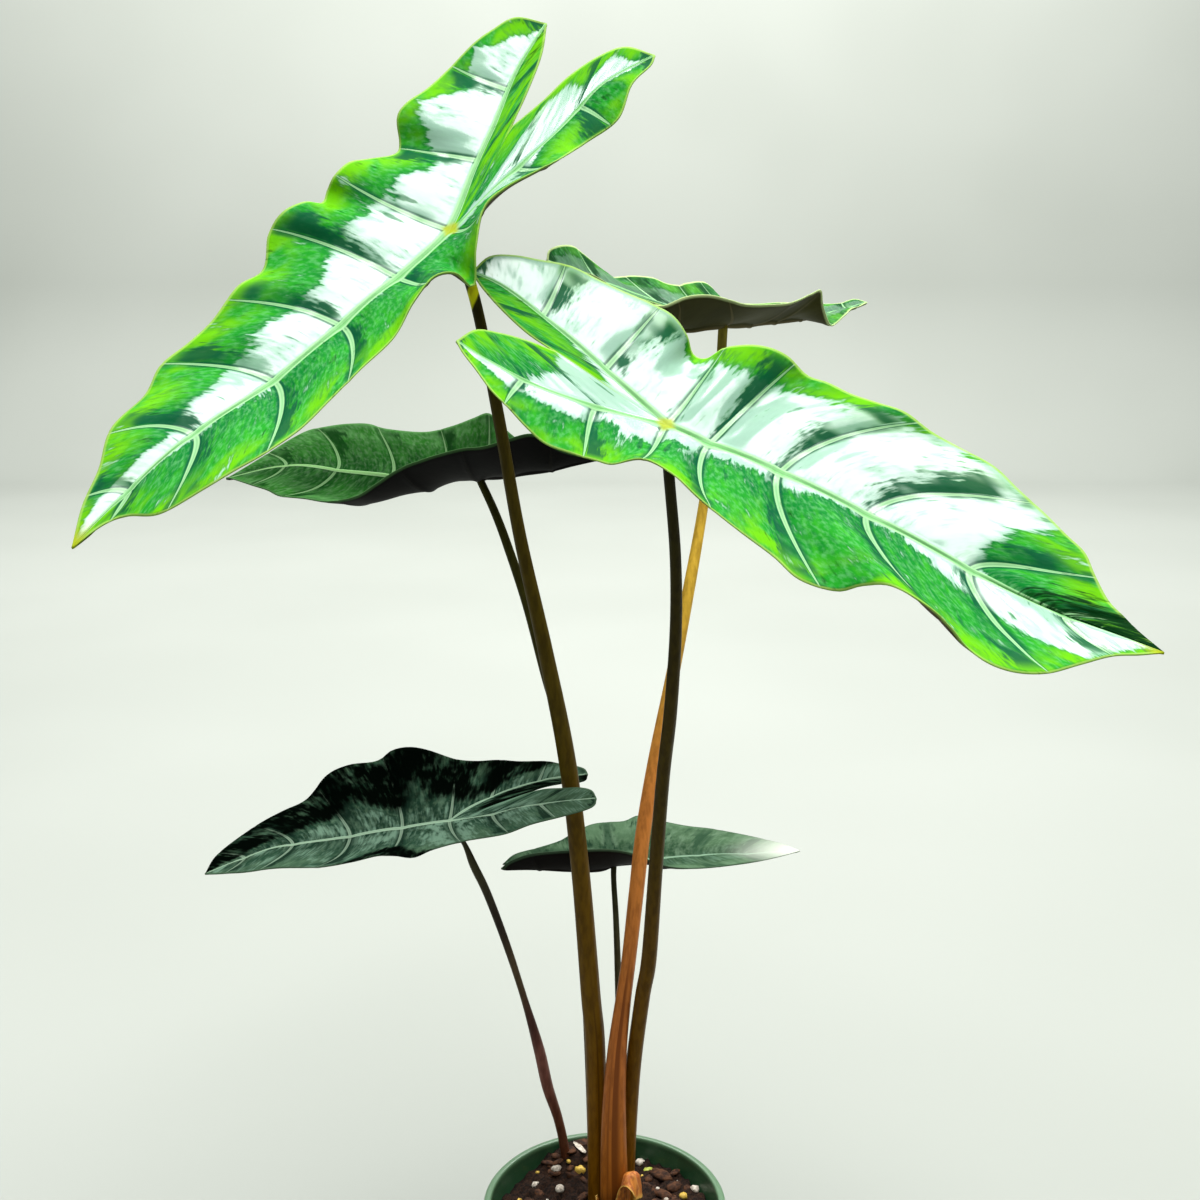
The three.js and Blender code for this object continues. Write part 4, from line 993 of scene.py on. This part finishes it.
def petiole_material(name, colours):
    """colours run from the soil to the blade, each with the share of the length where it is reached."""
    s = Shader(name, colours[0][1])
    rise = s.number("rise")
    for (low, _), (high, following) in zip(colours, colours[1:]):
        s.paint(following, s.step(rise, low, high))
    # Random mottle, and painted shade in the creases of the folds, darken the stalk
    mottle_and_crease_shade = s.step(s.noise(500, 3, (1, 1, 0.25)), 0.35, 0.7)
    mottle_and_crease_shade = s.calc("MAXIMUM", mottle_and_crease_shade, s.step(s.number("crease"), -0.02, -0.10, 0, 1.8))
    s.paint((0.35, 0.3, 0.3), mottle_and_crease_shade, 0.5, blend="MULTIPLY")
    s.bump(s.noise(700, 2, (1, 1, 0.1)), 0.0002)
    return s.finish(PETIOLE["roughness"], ior=1.35, specular_ior_level=0.12)


PETIOLE_LOOKS = {
    # The bright yellow ring just below this stalk's blade is a painted highlight
    "leaf_upper_left": ("olive_petiole", [
        (0, (0.22, 0.085, 0.002)), (0.35, (0.12, 0.060, 0.002)), (0.6, (0.085, 0.055, 0.002)),
        (0.9, (0.050, 0.038, 0.003)), (0.944, (0.025, 0.024, 0.003)), (0.947, (0.70, 0.75, 0.008)),
        (0.958, (0.70, 0.75, 0.008)), (0.962, (0.025, 0.024, 0.003)),
    ]),
    "leaf_upper_right": ("olive_petiole", [
        (0, (0.22, 0.080, 0.003)), (0.3, (0.12, 0.055, 0.002)), (0.6, (0.055, 0.036, 0.002)),
        (1, (0.022, 0.020, 0.002)),
    ]),
    # This stalk's near-black foot, up to about a tenth of its length, is painted shade
    "leaf_back_right": ("orange_petiole", [
        (0, (0.02, 0.008, 0.003)), (0.075, (0.02, 0.008, 0.003)), (0.11, (0.38, 0.115, 0.014)),
        (0.25, (0.42, 0.13, 0.028)), (0.5, (0.62, 0.22, 0.045)),
        (0.75, (0.68, 0.42, 0.045)), (1, (0.26, 0.22, 0.03)),
    ]),
    "leaf_middle_left": ("olive_petiole", [
        (0, (0.10, 0.045, 0.003)), (0.5, (0.075, 0.050, 0.003)), (1, (0.040, 0.040, 0.005)),
    ]),
    "leaf_lower_left": ("brown_petiole", [
        (0, (0.10, 0.028, 0.010)), (0.2, (0.13, 0.045, 0.022)), (0.4, (0.22, 0.085, 0.065)),
        (0.5, (0.07, 0.028, 0.022)), (0.62, (0.09, 0.06, 0.03)), (0.75, (0.035, 0.025, 0.018)),
        (0.9, (0.05, 0.045, 0.02)), (1, (0.03, 0.035, 0.02)),
    ]),
    "leaf_lower_right": ("brown_petiole", [
        (0, (0.14, 0.05, 0.015)), (0.5, (0.07, 0.05, 0.02)), (1, (0.04, 0.045, 0.02)),
    ]),
}

for name, leaf in LEAVES.items():
    look, slot, *counts = BLADE_LOOKS[name]
    leaf.update(zip(("cell_rows", "lobe_rows", "columns", "rib_width", "vein_width"), counts))
    blade(name, leaf, upper_material(name + "_upper", look), under_material(name + "_under", look))
    slot, colours = PETIOLE_LOOKS[name]
    petiole(name, leaf["petiole"], petiole_material(name + "_stalk", colours), FOLDS.get(name, []))


# The pot

def wall_radius(z):
    top = POT["rim_radius"] - POT["rim_width"] - 1.2
    return POT["base_radius"] + (top - POT["base_radius"]) * z / (POT["height"] - POT["rim_height"])


def pot_profile():
    """[radius, height] round the wall, with each corner rounded in three steps."""
    height, rim, base = POT["height"], POT["rim_radius"], POT["base_radius"]
    inside, ledge = rim - POT["rim_width"], height - POT["rim_height"]
    wall, floor = POT["wall"], POT["floor"]
    corners = [
        (0, 0, 0), (base, 0, 1.6), (wall_radius(ledge), ledge, 0.5), (rim - 2.5, ledge + 0.5, 0.8),
        (rim - 1.2, height - 3.4, 1), (rim, height - 2.4, 0.8), (rim, height, 1.5),
        (inside, height, 0.9), (inside - 0.4, height - 3.2, 1), (wall_radius(ledge) - wall, ledge - 1, 2),
        (base - wall, floor, 1.4), (0, floor, 0),
    ]
    profile = []
    for i, (r, z, bend) in enumerate(corners):
        here = np.array([r, z], float)
        if not bend:
            profile.append(here)
            continue
        before = unit(np.array(corners[i - 1][:2]) - here) * bend
        after = unit(np.array(corners[i + 1][:2]) - here) * bend
        for share in (0, 0.33, 0.67, 1):
            profile.append(here + before * (1 - share) ** 2 + after * share**2)
    return np.array(profile)


def pot(material):
    sides = POT["sides"]
    rings = pot_profile()[1:-1]
    places = around(rings[:, :1], circle(sides), rings[:, 1:]).reshape(-1, 3)
    places = np.vstack([places, [[0, 0, 0], [0, 0, POT["floor"]]]])
    made = make_object("fine_pot", places, spun_faces(len(rings), sides), {}, [material])
    for i in range(POT["drains"]):
        angle = 2 * math.pi * (i + 0.5) / POT["drains"]
        middle = (POT["drain_ring"] * math.cos(angle) * MM, POT["drain_ring"] * math.sin(angle) * MM, 0)
        bpy.ops.mesh.primitive_cylinder_add(
            vertices=32, radius=POT["drain_radius"] * MM, depth=0.012, location=middle,
        )
        cutter = bpy.context.object
        cut = made.modifiers.new("drain", "BOOLEAN")
        cut.object = cutter
        cut.solver = "EXACT"
        bpy.context.view_layer.objects.active = made
        bpy.ops.object.modifier_apply(modifier=cut.name)
        bpy.data.objects.remove(cutter)
    finish(made, "pot")


def pot_material():
    s = Shader("pot_plastic", (0.014, 0.058, 0.022))
    cloudy = s.step(s.noise(60, 4), 0.35, 0.7)
    s.paint((0.020, 0.078, 0.030), cloudy)
    s.paint((0.16, 0.15, 0.10), s.step(s.noise(900, 2), 0.62, 0.75), 0.25)
    # The top of the rim is paler: a painted highlight
    s.paint((0.10, 0.20, 0.10), s.step(s.height(), 0.0895, 0.0915, 0, 0.8))
    s.bump(s.noise(1500, 2), 0.00005)
    return s.finish(s.step(cloudy, 0, 1, 0.32, 0.5), coat_weight=0.2, coat_roughness=0.2, ior=1.5)


# The soil

def inside_radius(z):
    """How far the pot's inner face is from its axis, less a little, at height z."""
    ledge = POT["height"] - POT["rim_height"]
    heights = [POT["floor"], ledge - 1, POT["height"] - 3.2]
    top = POT["rim_radius"] - POT["rim_width"] - 0.4
    radii = [POT["base_radius"] - POT["wall"], wall_radius(ledge) - POT["wall"], top]
    return np.interp(z, heights, radii) - 0.4


def soil_height(x, y):
    (behind_x, behind_y), (stems_x, stems_y) = SOIL["heap_at"], SOIL["stem_heap_at"]
    behind = np.hypot(x - behind_x, y - behind_y) / SOIL["heap_spread"]
    stems = np.hypot(x - stems_x, y - stems_y) / SOIL["stem_spread"]
    lumps = np.sin(x * 0.45 + 1) * np.cos(y * 0.5) + 0.6 * np.sin(x * 0.9 - y * 0.7)
    crumbs = SOIL["crumb"] * np.abs(ripples(x, y, 4.5, SEED + 1))
    crumbs = crumbs + SOIL["grain"] * ripples(x, y, 1.9, SEED + 2)
    heaps = SOIL["heap"] * np.exp(-(behind**2)) + SOIL["stem_heap"] * np.exp(-(stems**2))
    return SOIL["level"] + heaps + SOIL["lump"] * lumps + crumbs


def lump(middle, size, stretch, turn, rng):
    """A small stone, chip or pellet: a bumpy ball with its own proportions."""
    rings, sides, rough = 7, 10, 0.16
    ball = [(0, 0, -1)]
    for polar in math.pi * np.arange(1, rings) / rings:
        flat = math.sin(polar)
        ball += [(flat * math.cos(a), flat * math.sin(a), -math.cos(polar)) for a in circle(sides)]
    ball.append((0, 0, 1))
    ball = np.array(ball) * np.array(stretch) * size
    ball *= 1 + rng.uniform(-rough, rough, (len(ball), 1))
    c, s = math.cos(turn), math.sin(turn)
    ball = ball @ np.array([[c, s, 0], [-s, c, 0], [0, 0, 1]]) + np.array(middle)
    faces = []
    for j in range(sides):
        k = (j + 1) % sides
        faces.append([0, 1 + k, 1 + j])
        for start in range(1, 1 + (rings - 2) * sides, sides):
            faces.append([start + j, start + k, start + sides + k, start + sides + j])
        last = 1 + (rings - 2) * sides
        faces.append([last + j, last + k, len(ball) - 1])
    return ball, faces


PEAT, BARK, PERLITE, YELLOW, GREEN = range(5)

# Bits that the photo shows: [x, y, size, how long, kind, and for some the turn]
SEEN_BITS = [
    (-22, 31, 2.1, 1.1, PERLITE), (-20, 18.5, 2.1, 1.1, PERLITE), (-31, 25, 2, 1.1, PERLITE),
    (18, 45, 2, 1.2, PERLITE), (16, 38, 1.8, 1, PERLITE), (43, 22, 2, 1.2, PERLITE),
    (35, 15, 1.8, 1.1, YELLOW), (-11, 29.5, 2.3, 1.1, YELLOW), (-11.5, 40.5, 1.5, 3.6, PERLITE, 2.1),
    (-10, 46, 3.2, 1.4, BARK, 0.1), (20, 36, 1.8, 1.5, GREEN), (26, 30, 3.5, 1.8, BARK),
    (31, 22, 3, 1.4, BARK), (22, 12, 2.6, 1.6, BARK),
]


def soil_bits(rng):
    """Those bits and others at random."""
    bits = list(SEEN_BITS)
    for _ in range(SOIL["bits"]):
        angle = rng.uniform(0, 2 * math.pi)
        far = SOIL["bits_within"] * math.sqrt(rng.uniform())
        kind = rng.choice([BARK] * 5 + [PERLITE, YELLOW])
        size = rng.uniform(1.1, 3) if kind == BARK else rng.uniform(0.5, 1.3)
        long = rng.uniform(1.2, 2.4) if kind == BARK else rng.uniform(1, 1.3)
        bits.append((far * math.cos(angle), far * math.sin(angle), size, long, kind))
    return bits


def soil(materials):
    """A filled body with a lumpy top, and loose bits on it that stay inside the pot's wall."""
    sides, rings, highest = SOIL["sides"], SOIL["rings"], SOIL["highest"]
    reach = wall_radius(SOIL["edge_level"]) - POT["wall"] - 0.8
    bottom = POT["floor"] + 1.5
    turn = circle(sides)
    radii = reach * np.arange(1, rings + 1)[:, None] / rings
    x, y = radii * np.cos(turn), radii * np.sin(turn)
    z = np.minimum(soil_height(x, y), highest)
    top = np.stack([x, y, z], axis=-1)
    top[-1] = around(inside_radius(z[-1]), turn, z[-1])
    foot = around(wall_radius(bottom) - POT["wall"] - 1.8, turn, bottom)
    stack = [top.reshape(-1, 3), foot, [[0, 0, soil_height(0, 0)], [0, 0, bottom]]]
    total = sum(len(places) for places in stack)
    faces = spun_faces(rings + 1, sides, downwards=True)
    kinds = [PEAT] * len(faces)
    rng = np.random.default_rng(SEED)
    for px, py, size, long, kind, *given in soil_bits(rng):
        nearer = min(1, reach / math.hypot(px, py))
        px, py = nearer * px, nearer * py
        flat = 0.5 if kind == BARK else 0.85
        [bit_turn] = given or [rng.uniform(0, 3.1)]
        middle = (px, py, soil_height(px, py) + 0.15 * size)
        ball, own = lump(middle, size, (long, 1, flat), bit_turn, rng)
        ball[:, 2] = np.minimum(ball[:, 2], highest + 0.5)
        held = np.minimum(1, inside_radius(ball[:, 2]) / np.hypot(ball[:, 0], ball[:, 1]))
        ball[:, :2] *= held[:, None]
        stack.append(ball)
        faces += [[total + i for i in face] for face in own]
        kinds += [kind] * len(own)
        total += len(ball)
    made = make_object("fine_soil", np.vstack(stack), faces, {}, materials, kinds)
    finish(made, "soil")


def grain_material(name, dark, light, scale, roughness, depth):
    s = Shader(name, dark)
    s.paint(light, s.step(s.noise(scale, 4), 0.35, 0.65))
    s.bump(s.noise(scale * 2.2, 4), depth)
    return s.finish(roughness, specular_ior_level=0.2)


# The dry sheath

def sheath(material):
    """As in the part: the right end curls outwards and hangs. Here it is also crinkled and ragged."""
    foot, lip, straight, radius = (SHEATH[key] for key in ("foot", "lip", "straight", "curl_radius"))
    rise = np.linspace(0, 1, SHEATH["rows"])[:, None]
    share = np.linspace(0, 1, SHEATH["columns"])[None, :]
    curl = step(share, 0.66, 0.86)
    over = np.maximum(rise - straight, 0) / (1 - straight)
    bend = 0.95 * math.pi * curl * np.minimum(2 * over, 1)
    drop = SHEATH["hang"] * curl * np.maximum(2 * over - 1, 0)
    top = lip + (SHEATH["peak"] - lip) * step(share, 0.5, 0.85) + 1.2 * np.sin(9 * share)
    top = top + 0.6 * np.sin(41 * share) * np.sin(17 * share + 1)
    stand = np.minimum(rise / (straight + (1 - straight) * (1 - curl)), 1)
    out = SHEATH["reach"] + SHEATH["flare"] * rise**2 + radius * (1 - np.cos(bend)) + drop * np.sin(bend)
    out = out + 0.2 * np.sin(70 * share + 2 * rise) + 0.1 * np.sin(31 * share + 5 * rise)
    above = radius * np.sin(bend) + drop * np.cos(bend)
    angle = np.radians(SHEATH["from"] + SHEATH["turn"] * share)
    places = around(out, angle, foot + (top - foot) * stand + above)
    places[..., :2] += SHEATH["middle"]
    sheet = Sheet()
    sheet.patch(places, True, rise=rise)
    sheet.join()
    thick, thin = SHEATH["thickness"], SHEATH["edge_thickness"]
    depth = thick - (thick - thin) * step(sheet.data["rise"], 0.85, 1)
    places, faces = sheet.closed(0 * depth, depth)
    attributes = {"rise": np.tile(sheet.data["rise"], 2)}
    made = make_object("fine_dry_sheath", places, faces, attributes, [material])
    finish(made, "dry_sheath")


def sheath_material():
    s = Shader("dry_sheath_skin", (0.40, 0.10, 0.012))
    fibres = s.step(s.noise(500, 4, (1, 1, 0.12)), 0.35, 0.65)
    s.paint((0.72, 0.26, 0.04), fibres)
    s.paint((0.16, 0.04, 0.010), s.step(s.noise(160, 3), 0.5, 0.66), 0.6)
    s.paint((0.80, 0.50, 0.10), s.step(s.number("rise"), 0.93, 1), 0.7)
    s.bump(fibres, 0.0002)
    return s.finish(0.55)


pot(pot_material())
soil([
    grain_material("soil_peat", (0.008, 0.004, 0.0025), (0.032, 0.014, 0.007), 700, 0.95, 0.0008),
    grain_material("soil_bark", (0.02, 0.008, 0.004), (0.09, 0.035, 0.014), 400, 0.8, 0.0004),
    grain_material("soil_perlite", (0.42, 0.36, 0.29), (0.70, 0.64, 0.54), 900, 0.8, 0.0003),
    grain_material("soil_yellow_pellet", (0.45, 0.28, 0.04), (0.75, 0.52, 0.10), 600, 0.4, 0.0001),
    grain_material("soil_green_pellet", (0.30, 0.36, 0.04), (0.48, 0.52, 0.09), 600, 0.4, 0.0001),
])
sheath(sheath_material())


# Studio

def backdrop():
    """A pale floor that curves up into a pale wall."""
    s = Shader("backdrop_paper", (0.265, 0.28, 0.252))
    s.paint((0.285, 0.30, 0.272), s.step(s.noise(1.3, 2), 0.3, 0.7))
    s.finish(0.9)
    front, back, half_width, bend, top = -1800, 3100, 4200, 500, 1600
    line = [(front, 0)] + [
        (back + bend * math.sin(a), bend - bend * math.cos(a)) for a in np.linspace(0, math.pi / 2, 24)
    ] + [(back + bend, top)]
    places = [(x, y, z) for y, z in line for x in (-half_width, half_width)]
    faces = [[2 * i, 2 * i + 1, 2 * i + 3, 2 * i + 2] for i in range(len(line) - 1)]
    floor = make_object("backdrop", places, faces, {}, [s.material])


def softbox(name, place, aim, size, power):
    light = bpy.data.lights.new(name, "AREA")
    light.shape = "RECTANGLE"
    light.size, light.size_y = size
    light.energy = power
    lamp = bpy.data.objects.new(name, light)
    lamp.location = place
    to = [b - a for a, b in zip(place, aim)]
    flat = math.hypot(to[0], to[1])
    lamp.rotation_euler = (math.atan2(flat, -to[2]), 0, math.atan2(-to[0], to[1]))
    bpy.context.scene.collection.objects.link(lamp)


backdrop()
softbox("top_softbox", (0.12, -0.22, 1.75), (-0.02, -0.06, 0.4), (1.5, 1.4), 66)
softbox("back_softbox", (0, 1.1, 1.7), (0, 0, 0.45), (2.6, 0.7), 24)
softbox("wall_softbox", (0, 1.7, 2.6), (0, 3.6, 0.7), (3.6, 0.6), 240)

world = bpy.data.worlds.new("studio")
world.use_nodes = True
world.node_tree.nodes["Background"].inputs["Color"].default_value = (0.92, 1.0, 0.95, 1)
world.node_tree.nodes["Background"].inputs["Strength"].default_value = 0.3
bpy.context.scene.world = world
bpy.context.scene.view_settings.view_transform = "Standard"

camera = bpy.data.objects.new("camera", bpy.data.cameras.new("camera"))
camera.data.lens = 43.5
camera.data.sensor_width = 36
camera.location = (-0.002, -0.561, 0.477)
camera.rotation_euler = (math.radians(78), 0, 0)
bpy.context.scene.collection.objects.link(camera)
bpy.context.scene.camera = camera
